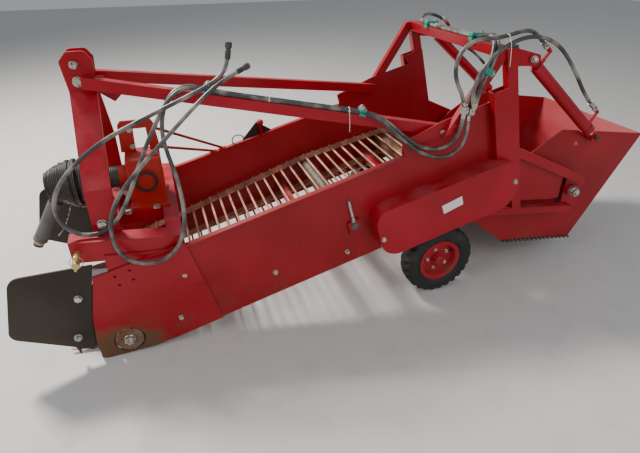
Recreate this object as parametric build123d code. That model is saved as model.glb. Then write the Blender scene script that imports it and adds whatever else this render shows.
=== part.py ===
"""Stone picker for a tractor's three-point linkage, with a rod web and a hydraulic tipping bucket.

Millimetres. x runs back from the hitch to the bucket, y to the machine's right, z up.
The origin is on the ground, midway along and across the machine.
Most of the machine is laid out on the slope of the web: u runs up the slope from the
front roller's axis and v stands square to it. Left and right are the operator's.
"""
from build123d import *
from math import cos, inf, pi, radians, sin, tan
import os

# Slope of the web and the front roller's axis, from which u and v are measured
SLOPE = 15.0
ROLLER_X = -1160.0
ROLLER_Z = 79.0
COS = cos(radians(SLOPE))
SIN = sin(radians(SLOPE))

# Side walls, measured outwards from the middle plane
WALL_IN = 404.0
WALL_T = 6.0
WALL_OUT = WALL_IN + WALL_T
WALL_LOW_V = -95.0
WALL_TOP_V = 345.0
WALL_FRONT_U = 330.0
FLANGE_WIDTH = 24.0
FLANGE_T = 6.0

# Tower: the raised part of each wall under the uprights
TOWER_U = 1428.0
TOWER_V = 405.0
TOWER_TOP_V = 430.0
TOWER_RAMP = 220.0
DOUBLER_LENGTH = 74.0
DOUBLER_V = 482.0

# Front cheeks, lapped on the outside of the walls
CHEEK_T = 8.0
CHEEK_OUT = WALL_OUT + CHEEK_T
CHEEK_REAR_U = 405.0
CHEEK_TOP_V = 352.0
CHEEK_HOLE_D = 13.0
NOTCH_R = 66.0
END_PLATE_GAP = 7.0

# Web of rods and its rollers
ROD_D = 12.0
ROD_COUNT = 67
ROD_PHASE = 0.75
ROD_FLATS = 8
ROD_SINK = 4.0
BELT_T = 8.0
BELT_WIDTH = 50.0
WEB_GAP = 16.0
ROLLER_R = 60.0
MID_ROLLER_R = 40.0
MID_ROLLER_U = 1125.0
MID_ROLLER_V = 92.0
REAR_ROLLER_U = 1625.0
REAR_ROLLER_V = 50.0
ROLLER_GAP = 0.3
SHAFT_D = 40.0
SHAFT_END = 20.0

# Uprights over the rear of the web
POST_FRONT_U = 1944.0
POST_WIDTH = 50.0
POST_REAR_U = POST_FRONT_U + POST_WIDTH
POST_DEPTH = 40.0
POST_OUT = WALL_OUT + POST_DEPTH
POST_TOP_V = 655.0
POST_TOP_REAR_V = POST_TOP_V - POST_WIDTH * SIN / COS
STRUT_ANGLE = 43.0
STRUT_WIDTH = 46.0
STRUT_DEPTH = 30.0
STRUT_HEAD = 22.0
STRUT_LAP = 60.0
CROSSBAR_H = 50.0

# Bottom rails and outriggers behind the posts
RAIL_H = 36.0
RAIL_FRONT_X = 600.0
RAIL_FALL = 0.13
RAIL_POST_Z = 428.0
OUTRIGGER_T = 6.0
ARM_FALL = 0.45
ARM_BAR_H = 45.0
ARM_ABOVE_PIVOT = 108.0
SHEET_LIFT = 28.0
SLOT_WIDTH = 28.0
SLOT_AHEAD = 40.0

# Bucket and its pivot
BUCKET_GAP = 26.0
BUCKET_HALF = WALL_IN - BUCKET_GAP
BUCKET_T = 6.0
PIVOT_X = 1150.0
PIVOT_Z = 453.0
PIVOT_PIN_D = 30.0
PIVOT_BOSS_D = 62.0
PIVOT_BOSS_H = 18.0
PIVOT_WASHER_D = 48.0
PIN_PLAY = 0.1
SIDE_HOLE_D = 24.0
BOSS_GAP = 2.0

# Tipping cylinders
CYL_Y = 415.0
CYL_TOP_X = 697.0
CYL_TOP_Z = 1163.0
CYL_LOW_X = 1208.0
CYL_LOW_Z = 743.0
BARREL_D = 56.0
BARREL_WALL = 5.0
BARREL_START = 60.0
GLAND_LENGTH = 34.0
ROD_SIZE = 28.0
EYE_D = 50.0
EYE_WIDTH = 28.0
CYL_PIN_D = 25.0
CYL_PIN_HEAD = 12.0
LUG_T = 8.0
LUG_GAP = 1.0
LUG_REACH = 46.0
LUG_ABOVE = 14.0
LUG_BELOW = 34.0
PORT_D = 22.0
PORT_HEIGHT = 16.0
TOP_PORT_AT = 12.0
LOW_PORT_AT = 40.0
ELBOW_D = 16.0
ELBOW_H = 86.0
ELBOW_REACH = 30.0

# Depth wheels
TYRE_D = 376.0
TYRE_W = 100.0
RIM_D = 228.0
WHEEL_X = 368.0
WHEEL_Y = 415.0
AXLE_D = 30.0
LEG_T = 12.0
LEG_WIDTH = 84.0
WHEEL_GAP = 6.0
WHEEL_BEAM_H = 46.0
WHEEL_BEAM_W = 80.0

# Hitch frame
BEAM_HEIGHT = 92.0
BEAM_WIDTH = 80.0
BEAM_OUT = WALL_IN - 2.0
BEAM_IN = BEAM_OUT - BEAM_WIDTH
BEAM_FRONT_X = -1292.0
BEAM_REAR_X = -861.0
BEAM_FRONT_Z = 552.0
BEAM_REAR_Z = 507.0
CROSS_BEAM_W = 66.0
CARRIER_Y = 100.0
CARRIER_W = 50.0
CARRIER_H = 60.0
LINK_PIN_D = 28.0
LINK_PIN_TIP = 500.0
LINK_PIN_BACK = 26.0

# Mast: an A of two legs that stand on the side beams
MAST_HALF = 32.0
MAST_T = 12.0
MAST_WIDTH = 102.0
MAST_FRONT_X = -1201.0
MAST_REAR_X = MAST_FRONT_X + MAST_WIDTH
MAST_KNEE_Z = 773.0
MAST_SPLAY_Z = 1082.0
MAST_TOP_Z = 1235.0
TOP_PIN_D = 25.0
TOP_PIN_X = MAST_FRONT_X + 40.0
TOP_PIN_Z = MAST_TOP_Z - 48.0

# Braces from the mast to the towers
BRACE_H = 46.0
BRACE_W = 40.0
BRACE_PLATE_T = 8.0
BRACE_FRONT_Z = MAST_TOP_Z - 113.0
BRACE_REAR_X = 330.0
BRACE_REAR_Z = 868.0

# Gearbox, its bracket and the drive shaft's guard
GEARBOX_X = -977.0
GEARBOX_LENGTH = 168.0
GEARBOX_WIDTH = 170.0
GEARBOX_H = 220.0
GEAR_CAP_D = 100.0
GEAR_CAP_T = 14.0
GEARBOX_NECK = 36.0
SHAFT_ABOVE_CARRIER = 120.0
INPUT_SHAFT_D = 35.0
INPUT_SHAFT_L = 180.0
BRACKET_Y = 35.0
BRACKET_T = 10.0
BELL_REAR_X = -1184.0
BELL_R = 104.0
BELL_NECK_R = 48.0
BELL_RIBS = 8
BELL_RIB_PITCH = 26.0
GUARD_TUBE_D = 58.0
GUARD_TUBE_END = (-1486.0, 418.0)

# Chain guard on the left wall
GUARD_FACE = 500.0
GUARD_T = 4.0

# Plates of the shields ahead of the cheeks
BRACKET_PLATE_T = 8.0

# Hydraulic hoses and the fittings on the left strut
HOSE_D = 17.0
FERRULE_D = 19.0
FERRULE_LENGTH = 26.0
TEE_WIDTH = 26.0
TEE_HEIGHT = 30.0
TEE_OUT = 468.0
TEE_PLACES = ((378.0, 972.0), (410.0, 965.0))


def slope_point(u, v):
    """Ground-frame (x, z) of a point u up the slope and v square to it."""
    return (ROLLER_X + u * COS - v * SIN, ROLLER_Z + u * SIN + v * COS)


def plate(points, y0, y1, rounds=None):
    """Flat plate with the outline of (x, z) points, from y0 to y1, its corners rounded on request."""
    corners = [(x, y0, z) for x, z in points]
    if rounds:
        outline = FilletPolyline(*corners, radius=rounds, close=True)
    else:
        outline = Polyline(*corners, close=True)
    return extrude(make_face(outline), y1 - y0, dir=(0, 1, 0))


def slope_plate(points, y0, y1, rounds=None):
    """Flat plate whose outline is given in (u, v)."""
    return plate([slope_point(u, v) for u, v in points], y0, y1, rounds)


def slope_block(u0, u1, v0, v1, y0, y1):
    """Block square to the slope."""
    return slope_plate([(u0, v0), (u1, v0), (u1, v1), (u0, v1)], y0, y1)


def cross_bar(x, z, diameter, y0, y1):
    """Round bar along y."""
    low = (Align.CENTER, Align.CENTER, Align.MIN)
    return Plane((x, y0, z), x_dir=(1, 0, 0), z_dir=(0, 1, 0)) * Cylinder(diameter / 2, y1 - y0, align=low)


def stub(origin, axis, diameter, start, end):
    """Round bar on an axis, between two distances from its origin."""
    low = (Align.CENTER, Align.CENTER, Align.MIN)
    across = Vector(axis).cross(Vector(0.3, 0.5, 0.9))
    return Plane(origin, x_dir=across, z_dir=axis) * Pos(0, 0, start) * Cylinder(diameter / 2, end - start, align=low)


def ring_about_y(points, x, z, y):
    """Ring turned about the y axis through (x, z); points are (radius, offset along y)."""
    outline = Polyline(*[(x + radius, y + offset_y, z) for radius, offset_y in points], close=True)
    return revolve(make_face(outline), Axis((x, 0, z), (0, 1, 0)))


def both_sides(left):
    """The left-hand solid and its mirror image on the right, as one node of two solids."""
    return Compound(left.solids() + mirror(left, about=Plane.XZ).solids())


# Walls
def side_wall():
    doubler_u = POST_FRONT_U - DOUBLER_LENGTH
    outline = [
        (WALL_FRONT_U, WALL_LOW_V), (POST_REAR_U, WALL_LOW_V), (POST_REAR_U, DOUBLER_V),
        (doubler_u, DOUBLER_V), (doubler_u + FLANGE_WIDTH, TOWER_TOP_V),
        (TOWER_U + TOWER_RAMP, TOWER_TOP_V), (TOWER_U, TOWER_V), (TOWER_U, WALL_TOP_V),
        (WALL_FRONT_U, WALL_TOP_V),
    ]
    wall = slope_plate(outline, -WALL_OUT, -WALL_IN)
    wall += slope_block(CHEEK_REAR_U + 1, TOWER_U, WALL_TOP_V - FLANGE_T, WALL_TOP_V,
                        -WALL_OUT - FLANGE_WIDTH, -WALL_OUT)
    for u, v in ((REAR_ROLLER_U, REAR_ROLLER_V), (MID_ROLLER_U, MID_ROLLER_V)):
        wall -= cross_bar(*slope_point(u, v), SHAFT_D + 2 * ROLLER_GAP, -WALL_OUT - 1, -WALL_IN + 1)
    return wall


# Front edge of the cheek, from its top corner down to the shoe, and its bolt holes
CHEEK_FRONT = ((-1236.0, 432.0), (-1278.0, 240.0), (-1292.0, 103.0), (-1287.0, 9.0), (-1262.0, 2.0))
CHEEK_HOLES = ((-1155.0, 421.0), (-1094.0, 438.0), (-1145.0, 376.0), (-1087.0, 391.0))
SHOE_REAR_U = 80.0
SHOE_RISE_U = 205.0


def front_cheek():
    outline = [slope_point(CHEEK_REAR_U, CHEEK_TOP_V), *CHEEK_FRONT, slope_point(SHOE_REAR_U, WALL_LOW_V + 6),
               slope_point(SHOE_RISE_U, WALL_LOW_V), slope_point(CHEEK_REAR_U, WALL_LOW_V)]
    cheek = plate(outline, -CHEEK_OUT, -WALL_OUT)
    cheek -= cross_bar(ROLLER_X, ROLLER_Z, 2 * NOTCH_R, -CHEEK_OUT - 1, -WALL_OUT + 1)
    for x, z in CHEEK_HOLES:
        cheek -= cross_bar(x, z, CHEEK_HOLE_D, -CHEEK_OUT - 1, -WALL_OUT + 1)
    return cheek


# Share: sloping blade between the cheeks with forward points
POINT_COUNT = 7
POINT_SPAN = 660.0
POINT_WIDTH = 30.0
BLADE = ((-1288.0, 3.0), (-1262.0, 0.0), (-1242.0, 12.0), (-1245.0, 64.0), (-1256.0, 67.0))
POINT_SIDE = ((-1420.0, 17.0), (-1282.0, 6.0), (-1268.0, 30.0), (-1282.0, 36.0))


def share():
    blade = plate(BLADE, -WALL_OUT, WALL_OUT)
    tip_x, base_x = POINT_SIDE[0][0], POINT_SIDE[2][0]
    high = BLADE[-1][1]
    step = POINT_SPAN / (POINT_COUNT - 1)
    for index in range(POINT_COUNT):
        y = index * step - POINT_SPAN / 2
        point = plate(POINT_SIDE, y - POINT_WIDTH / 2, y + POINT_WIDTH / 2)
        tapered = Polyline((tip_x, y - 4, 0), (base_x, y - POINT_WIDTH / 2, 0), (base_x, y + POINT_WIDTH / 2, 0),
                           (tip_x, y + 4, 0), close=True)
        blade += point & extrude(make_face(tapered), high, dir=(0, 0, 1))
    return blade


# Rollers
def roller(u, v, radius, end):
    """Drum and through shaft at a place on the slope, the shaft as long as end on each side."""
    x, z = slope_point(u, v)
    drum = cross_bar(x, z, 2 * (radius - ROLLER_GAP), -WALL_IN + WEB_GAP, WALL_IN - WEB_GAP)
    return drum + cross_bar(x, z, SHAFT_D, -end, end)


def front_roller():
    """Front roller with the round end plates that show in the cheeks' notches."""
    result = roller(0, 0, ROLLER_R, WALL_IN)
    end_plate = cross_bar(ROLLER_X, ROLLER_Z, 2 * (NOTCH_R - END_PLATE_GAP), -WALL_OUT - CHEEK_T / 2, -WALL_IN)
    return result + end_plate + mirror(end_plate, about=Plane.XZ)


# Web: closed loop of two belts around the rollers, with rods fixed across them
SLOPE_SIDE = Plane((ROLLER_X, 0, ROLLER_Z), x_dir=(COS, 0, SIN), z_dir=(0, -1, 0))


def web():
    circles = [
        Pos(0, 0) * Circle(ROLLER_R),
        Pos(MID_ROLLER_U, MID_ROLLER_V) * Circle(MID_ROLLER_R),
        Pos(REAR_ROLLER_U, REAR_ROLLER_V) * Circle(ROLLER_R),
    ]
    hull = make_hull([edge for circle in circles for edge in circle.edges()])
    belts = offset(hull, BELT_T) - hull
    path = offset(hull, BELT_T + ROD_D / 2 - ROD_SINK).face().outer_wire()
    rods = Sketch()
    for index in range(ROD_COUNT):
        spot = path @ (((index + ROD_PHASE) / ROD_COUNT) % 1)
        rods += Pos(spot.X, spot.Y) * RegularPolygon(ROD_D / 2, ROD_FLATS)
    half = WALL_IN - WEB_GAP
    band = extrude(belts + rods, BELT_WIDTH)
    middle = extrude(rods, 2 * (half - BELT_WIDTH))
    loop = Pos(0, 0, half - BELT_WIDTH) * band + Pos(0, 0, BELT_WIDTH - half) * middle + Pos(0, 0, -half) * band
    return SLOPE_SIDE * loop


# Bottom rails and outriggers
RAIL_END_X = PIVOT_X + 8.0


def rail_top(x):
    """Height of the bottom rail's top face at a station."""
    return RAIL_POST_Z - (x - slope_point(POST_FRONT_U, 0)[0]) * RAIL_FALL


def post_foot(u):
    """v at which a line square to the slope at u meets the rail's top face."""
    height = RAIL_POST_Z - ROLLER_Z - u * SIN - (u - POST_FRONT_U) * COS * RAIL_FALL
    return height / (COS - SIN * RAIL_FALL)


def bottom_rail():
    return plate(
        [(RAIL_FRONT_X, rail_top(RAIL_FRONT_X)), (RAIL_END_X, rail_top(RAIL_END_X)),
         (RAIL_END_X, rail_top(RAIL_END_X) - RAIL_H), (RAIL_FRONT_X, rail_top(RAIL_FRONT_X) - RAIL_H)],
        -POST_OUT, -WALL_OUT,
    )


def post_rear_x(z):
    """Station of the post's rear face at a height."""
    x, foot_z = slope_point(POST_REAR_U, 0)
    return x - (z - foot_z) * SIN / COS


def arm_top(x):
    """Height of the outrigger's sloping top edge at a station."""
    return PIVOT_Z + ARM_ABOVE_PIVOT + (PIVOT_X - x) * ARM_FALL


def arm_root():
    """Where the outrigger's top edge meets the post's rear face."""
    x, z = slope_point(POST_REAR_U, 0)
    height = (arm_top(x) - z * ARM_FALL * SIN / COS) / (1 - ARM_FALL * SIN / COS)
    return post_rear_x(height), height


# The outrigger's nose behind the pivot, from the pivot's axis
NOSE = ((48.0, 70.0), (70.0, 10.0), (58.0, -80.0))
NOSE_ROUNDS = (22.0, 30.0, 24.0)


def outrigger():
    root_x, root_z = arm_root()
    slot_rear_x = PIVOT_X - SLOT_AHEAD
    slot_front_x = slot_rear_x - SLOT_WIDTH
    nose = [(PIVOT_X + x, PIVOT_Z + z) for x, z in NOSE]
    sheet_low = rail_top(post_rear_x(RAIL_POST_Z)) + SHEET_LIFT
    sheet = plate(
        [(root_x, root_z), (slot_front_x, arm_top(slot_front_x)), (slot_front_x, rail_top(slot_front_x) + SHEET_LIFT + 8),
         (slot_front_x - 60, rail_top(slot_front_x - 60) + SHEET_LIFT), (post_rear_x(sheet_low), sheet_low)],
        -WALL_OUT - OUTRIGGER_T, -WALL_OUT,
    )
    pivot_plate = plate(
        [(slot_rear_x, arm_top(slot_rear_x)), (PIVOT_X, arm_top(PIVOT_X)), *nose,
         (RAIL_END_X, rail_top(RAIL_END_X) - RAIL_H), (RAIL_END_X, rail_top(RAIL_END_X)),
         (slot_rear_x, rail_top(slot_rear_x))],
        -WALL_OUT - OUTRIGGER_T, -WALL_OUT, rounds=[0, 0, *NOSE_ROUNDS, 0, 0, 0],
    )
    bar = plate(
        [(root_x, root_z), (PIVOT_X, arm_top(PIVOT_X)), nose[0], (nose[0][0] - 2, nose[0][1] - 40),
         (PIVOT_X, arm_top(PIVOT_X) - 1.2 * ARM_BAR_H), (root_x + 14, root_z - ARM_BAR_H - 6)],
        -POST_OUT, -WALL_OUT - OUTRIGGER_T, rounds=[0, 0, 14, 0, 0, 0],
    )
    bar += plate(
        [(slot_front_x - 4, arm_top(slot_front_x - 4)), (slot_rear_x + 4, arm_top(slot_rear_x + 4)),
         (slot_rear_x + 4, arm_top(slot_rear_x + 4) - ARM_BAR_H), (slot_front_x - 4, arm_top(slot_front_x - 4) - ARM_BAR_H)],
        -WALL_OUT - OUTRIGGER_T, -WALL_OUT,
    )
    boss = cross_bar(PIVOT_X, PIVOT_Z, PIVOT_BOSS_D, -WALL_OUT - PIVOT_BOSS_H, -WALL_OUT)
    arm = sheet + pivot_plate + bar + boss
    return arm - cross_bar(PIVOT_X, PIVOT_Z, PIVOT_PIN_D, -POST_OUT - 1, -WALL_OUT + 1)


def pivot_pin():
    """Pin through the outrigger and the bucket's side, with its washer outside."""
    outer = -WALL_OUT - PIVOT_BOSS_H
    pin = cross_bar(PIVOT_X, PIVOT_Z, PIVOT_PIN_D, outer - 18, -BUCKET_HALF + 3 * BUCKET_T)
    return pin + cross_bar(PIVOT_X, PIVOT_Z, PIVOT_WASHER_D, outer - 6, outer)


# Uprights: post, doubler, sloping strut and the lugs that hold the cylinder's top eye
def upright():
    post = slope_plate(
        [(POST_FRONT_U, post_foot(POST_FRONT_U)), (POST_REAR_U, post_foot(POST_REAR_U)),
         (POST_REAR_U, POST_TOP_REAR_V), (POST_FRONT_U, POST_TOP_V)],
        -POST_OUT, -WALL_OUT,
    )
    doubler_u = POST_FRONT_U - DOUBLER_LENGTH
    doubler = slope_block(doubler_u, POST_FRONT_U, WALL_LOW_V, DOUBLER_V, -POST_OUT, -POST_OUT + WALL_T)
    doubler += slope_block(doubler_u, doubler_u + WALL_T, WALL_LOW_V, DOUBLER_V, -POST_OUT, -WALL_OUT)
    rise = tan(radians(STRUT_ANGLE))
    foot_v = TOWER_TOP_V - STRUT_LAP
    front_foot_u = POST_FRONT_U - STRUT_HEAD - (POST_TOP_V - foot_v) / rise
    rear_foot_u = front_foot_u + STRUT_WIDTH / sin(radians(STRUT_ANGLE))
    strut = slope_plate(
        [(front_foot_u, foot_v), (rear_foot_u, foot_v), (POST_FRONT_U, foot_v + (POST_FRONT_U - rear_foot_u) * rise),
         (POST_FRONT_U, POST_TOP_V), (POST_FRONT_U - STRUT_HEAD, POST_TOP_V)],
        -WALL_OUT - STRUT_DEPTH, -WALL_OUT,
    )
    return post + doubler + strut + cylinder_lugs()


def cylinder_lugs():
    """Two plates that flank the cylinder's top eye, on a pad across the rear of the post."""
    top = slope_point(POST_REAR_U, POST_TOP_REAR_V)
    low = slope_point(POST_REAR_U, POST_TOP_REAR_V - LUG_REACH - LUG_BELOW)
    reach = EYE_WIDTH / 2 + LUG_GAP + LUG_T
    lugs = slope_block(POST_REAR_U, POST_REAR_U + LUG_T, POST_TOP_REAR_V - LUG_REACH - LUG_BELOW,
                       POST_TOP_REAR_V - 3, -POST_OUT, -CYL_Y + reach)
    for inner in (-CYL_Y - reach, -CYL_Y + reach - LUG_T):
        lug = plate(
            [top, (CYL_TOP_X + LUG_REACH, CYL_TOP_Z + LUG_ABOVE), (CYL_TOP_X + LUG_REACH, CYL_TOP_Z - LUG_BELOW), low],
            inner, inner + LUG_T, rounds=[0, 14, 22, 0],
        )
        lugs += lug - cross_bar(CYL_TOP_X, CYL_TOP_Z, CYL_PIN_D, inner - 1, inner + LUG_T + 1)
    return lugs


def crossbar():
    """Tube between the tops of the posts."""
    inset = POST_WIDTH - GUARD_T
    fall = inset * SIN / COS
    corners = [(POST_FRONT_U, POST_TOP_V - CROSSBAR_H), (POST_FRONT_U + inset, POST_TOP_V - CROSSBAR_H - fall),
               (POST_FRONT_U + inset, POST_TOP_V - fall), (POST_FRONT_U, POST_TOP_V)]
    return slope_plate(corners, -WALL_OUT, WALL_OUT)


# Bucket: two side plates with a folded floor between them, from the lip under the web to the rear edge
FLOOR_LINE = ((600.0, 330.0), (795.0, 180.0), (1280.0, 123.0), (1590.0, 704.0))
SIDE_TOP = ((1036.0, 786.0), (869.0, 682.0), (600.0, 440.0))
SIDE_HOLE = (1146.0, 701.0)


def bucket():
    inner = -BUCKET_HALF + BUCKET_T
    side = plate([*FLOOR_LINE, *SIDE_TOP], -BUCKET_HALF, inner)
    pin_bore = PIVOT_PIN_D + 2 * PIN_PLAY
    boss_out = -WALL_OUT + BOSS_GAP
    boss = cross_bar(PIVOT_X, PIVOT_Z, PIVOT_BOSS_D, boss_out, -BUCKET_HALF)
    rod_lug = cross_bar(CYL_LOW_X, CYL_LOW_Z, EYE_D, -CYL_Y + EYE_WIDTH / 2 + LUG_GAP, -BUCKET_HALF)
    left = side + boss + rod_lug
    left -= cross_bar(PIVOT_X, PIVOT_Z, pin_bore, boss_out - 1, inner + 1)
    left -= cross_bar(*SIDE_HOLE, SIDE_HOLE_D, -BUCKET_HALF - 1, inner + 1)
    floor_line = Polyline(*[(x, 0, z) for x, z in FLOOR_LINE])
    sheet = offset(floor_line, BUCKET_T, side=Side.RIGHT, closed=True)
    floor = extrude(make_face(sheet), -inner, dir=(0, 1, 0), both=True)
    return left + mirror(left, about=Plane.XZ) + floor


# Cylinders, drawn back with the bucket down
CYL_TOP = Vector(CYL_TOP_X, -CYL_Y, CYL_TOP_Z)
CYL_AXIS = Vector(CYL_LOW_X - CYL_TOP_X, 0, CYL_LOW_Z - CYL_TOP_Z)
CYL_UP = Vector(-CYL_AXIS.Z, 0, CYL_AXIS.X)
BARREL_END = CYL_AXIS.length - EYE_D / 2 - 34.0


def cylinder_barrel():
    body = stub(CYL_TOP, CYL_AXIS, BARREL_D, BARREL_START, BARREL_END)
    body += stub(CYL_TOP, CYL_AXIS, BARREL_D + 6, BARREL_END - GLAND_LENGTH, BARREL_END - 4)
    body += stub(CYL_TOP, CYL_AXIS, EYE_WIDTH, 0, BARREL_START + 1)
    for along in (BARREL_START + TOP_PORT_AT, BARREL_END - LOW_PORT_AT):
        base = CYL_TOP + CYL_AXIS.normalized() * along
        corner = base + CYL_UP.normalized() * ELBOW_H
        body += stub(base, CYL_UP, PORT_D, 0, BARREL_D / 2 + PORT_HEIGHT)
        body += stub(base, CYL_UP, ELBOW_D, 0, ELBOW_H)
        body += Pos(corner) * Sphere(ELBOW_D / 2)
        body += stub(corner, -CYL_AXIS, ELBOW_D, 0, ELBOW_REACH)
        body += stub(corner, -CYL_AXIS, FERRULE_D, ELBOW_REACH / 3, ELBOW_REACH)
    body += cross_bar(CYL_TOP_X, CYL_TOP_Z, EYE_D, -CYL_Y - EYE_WIDTH / 2, -CYL_Y + EYE_WIDTH / 2)
    body -= cross_bar(CYL_TOP_X, CYL_TOP_Z, CYL_PIN_D + 2 * PIN_PLAY, -CYL_Y - EYE_WIDTH, -CYL_Y + EYE_WIDTH)
    bore = BARREL_D - 2 * BARREL_WALL
    body -= stub(CYL_TOP, CYL_AXIS, bore, BARREL_START + 12, BARREL_END - GLAND_LENGTH)
    return body - stub(CYL_TOP, CYL_AXIS, ROD_SIZE + 2 * PIN_PLAY, BARREL_END - GLAND_LENGTH - 1, BARREL_END + 1)


def cylinder_rod():
    """Piston, rod and the eye at its end, with the eye's pin outside."""
    piston_d = BARREL_D - 2 * BARREL_WALL - 2 * PIN_PLAY
    rod = stub(CYL_TOP, CYL_AXIS, ROD_SIZE, BARREL_START + 16, CYL_AXIS.length)
    rod += stub(CYL_TOP, CYL_AXIS, piston_d, BARREL_START + 16, BARREL_START + 50)
    rod += cross_bar(CYL_LOW_X, CYL_LOW_Z, EYE_D, -CYL_Y - EYE_WIDTH / 2, -CYL_Y + EYE_WIDTH / 2)
    return rod + cross_bar(CYL_LOW_X, CYL_LOW_Z, CYL_PIN_D, -CYL_Y - EYE_WIDTH / 2 - CYL_PIN_HEAD, -CYL_Y)


def cylinder_top_pin():
    reach = EYE_WIDTH / 2 + LUG_GAP + LUG_T
    return cross_bar(CYL_TOP_X, CYL_TOP_Z, CYL_PIN_D, -CYL_Y - reach - CYL_PIN_HEAD, -CYL_Y + reach)


# Depth wheels: half outlines from the outer face to the middle, as (radius, distance from the middle)
def tyre():
    radius, half, bead = TYRE_D / 2, TYRE_W / 2, RIM_D / 2 - 8
    side = [(bead, half - 14.2), (bead + 9, half - 14.2), (bead + 15, half - 6), (radius - 34, half),
            (radius - 10, half - 6), (radius, half - 20)]
    points = [(r, -y) for r, y in side] + [(r, y) for r, y in reversed(side)]
    return ring_about_y(points, WHEEL_X, TYRE_D / 2, -WHEEL_Y)


def wheel_rim():
    flange, half, bead = RIM_D / 2, TYRE_W / 2, RIM_D / 2 - 8
    bore, hub = AXLE_D / 2 + PIN_PLAY, 34
    points = [(bore, -30), (hub, -30), (hub, -14), (bead - 22, -10), (bead - 12, -half + 12),
              (flange, -half + 8), (flange, -half + 14), (bead, -half + 14), (bead, half - 14),
              (flange, half - 14), (flange, half - 8), (bead - 8, half - 8), (bead - 8, -half + 24),
              (bead - 18, -4), (hub, -8), (hub, 40), (bore, 40)]
    return ring_about_y(points, WHEEL_X, TYRE_D / 2, -WHEEL_Y)


def wheel_beam_span():
    """First and last station of the wheel beam on the slope, above the axle."""
    middle = (WHEEL_X - ROLLER_X + WALL_LOW_V * SIN) / COS
    return middle - WHEEL_BEAM_W / 2, middle + WHEEL_BEAM_W / 2


def wheel_beam():
    """Cross member that both wheel legs hang from."""
    u0, u1 = wheel_beam_span()
    return slope_block(u0, u1, WALL_LOW_V + 2, WALL_LOW_V + 2 + WHEEL_BEAM_H, -WALL_IN, WALL_IN)


def wheel_leg():
    """Plate below the wheel beam, with the stub axle on its outer face."""
    z = TYRE_D / 2
    inner = -WHEEL_Y + TYRE_W / 2 + WHEEL_GAP
    u0, u1 = wheel_beam_span()
    leg = plate([(WHEEL_X - LEG_WIDTH / 2, z), (WHEEL_X - LEG_WIDTH / 3, z - LEG_WIDTH / 2),
                 (WHEEL_X + LEG_WIDTH / 3, z - LEG_WIDTH / 2), (WHEEL_X + LEG_WIDTH / 2, z),
                 slope_point(u1, WALL_LOW_V + 2), slope_point(u0, WALL_LOW_V + 2)], inner, inner + LEG_T)
    return leg + cross_bar(WHEEL_X, z, AXLE_D, -WHEEL_Y - TYRE_W / 2 + 10, inner)


# Cross members between the walls, under the carrying run
MEMBER_SIZE = 45.0
MEMBERS = ((945.0, 22.0), (1480.0, 26.0))


def cross_members():
    half = MEMBER_SIZE / 2
    tubes = [slope_block(u - half, u + half, v - half, v + half, -WALL_IN, WALL_IN) for u, v in MEMBERS]
    return Compound([solid for tube in tubes for solid in tube.solids()])


# Chain guard: box with rounded corners over the drive of the web
GUARD_CORNERS = ((1205.0, 160.0), (1948.0, 147.0), (1948.0, -96.0), (1205.0, -96.0))
GUARD_ROUNDS = (66.0, 66.0, 116.0, 92.0)


def chain_guard():
    outer = slope_plate(GUARD_CORNERS, -GUARD_FACE, -WALL_OUT, rounds=list(GUARD_ROUNDS))
    turns = ((1, -1), (-1, -1), (-1, 1), (1, 1))
    inside = [(u + GUARD_T * du, v + GUARD_T * dv) for (u, v), (du, dv) in zip(GUARD_CORNERS, turns)]
    inner_rounds = [radius - GUARD_T for radius in GUARD_ROUNDS]
    inner = slope_plate(inside, -GUARD_FACE + GUARD_T, -WALL_OUT + 1, rounds=inner_rounds)
    step = slope_block(POST_FRONT_U - DOUBLER_LENGTH - 1, 2 * POST_REAR_U, -POST_REAR_U, POST_REAR_U,
                       -POST_OUT - 1, -WALL_OUT + 1)
    return outer - inner - step


# Shields ahead of the cheeks: dark sheets on brackets from the cheeks
SHIELD_OUTLINE = ((-1529.0, 490.0), (-1224.5, 494.0), (-1240.0, 432.0), (-1282.0, 240.0), (-1296.0, 103.0),
                  (-1308.0, 67.0), (-1601.0, 210.0))
SHIELD_ROUNDS = (52.0, 0.0, 0.0, 0.0, 0.0, 0.0, 42.0)
SHIELD_BRACKET = ((-1342.0, 385.0), (-1182.0, 402.0), (-1186.0, 150.0), (-1300.0, 76.0), (-1356.0, 86.0),
                  (-1366.0, 45.0), (-1378.0, 98.0))


def shield():
    return plate(SHIELD_OUTLINE, -CHEEK_OUT, -WALL_OUT, rounds=list(SHIELD_ROUNDS))


def shield_bracket():
    return plate(SHIELD_BRACKET, -WALL_OUT, -WALL_OUT + BRACKET_PLATE_T)


# Hitch frame
def beam_line(x):
    """Middle height of the hitch's side beams at a station."""
    fraction = (x - BEAM_FRONT_X) / (BEAM_REAR_X - BEAM_FRONT_X)
    return BEAM_FRONT_Z + fraction * (BEAM_REAR_Z - BEAM_FRONT_Z)


def beam_block(x0, x1, y0, y1):
    """Length of the sloping hitch frame between two stations."""
    half = BEAM_HEIGHT / 2
    return plate([(x0, beam_line(x0) - half), (x1, beam_line(x1) - half), (x1, beam_line(x1) + half),
                  (x0, beam_line(x0) + half)], y0, y1)


REAR_CROSS_X = BEAM_REAR_X - CROSS_BEAM_W
FRONT_CROSS_X = MAST_FRONT_X + 24.0
CARRIER_TOP_Z = beam_line(REAR_CROSS_X) + BEAM_HEIGHT / 2
SHAFT_Z = CARRIER_TOP_Z + SHAFT_ABOVE_CARRIER


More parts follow.
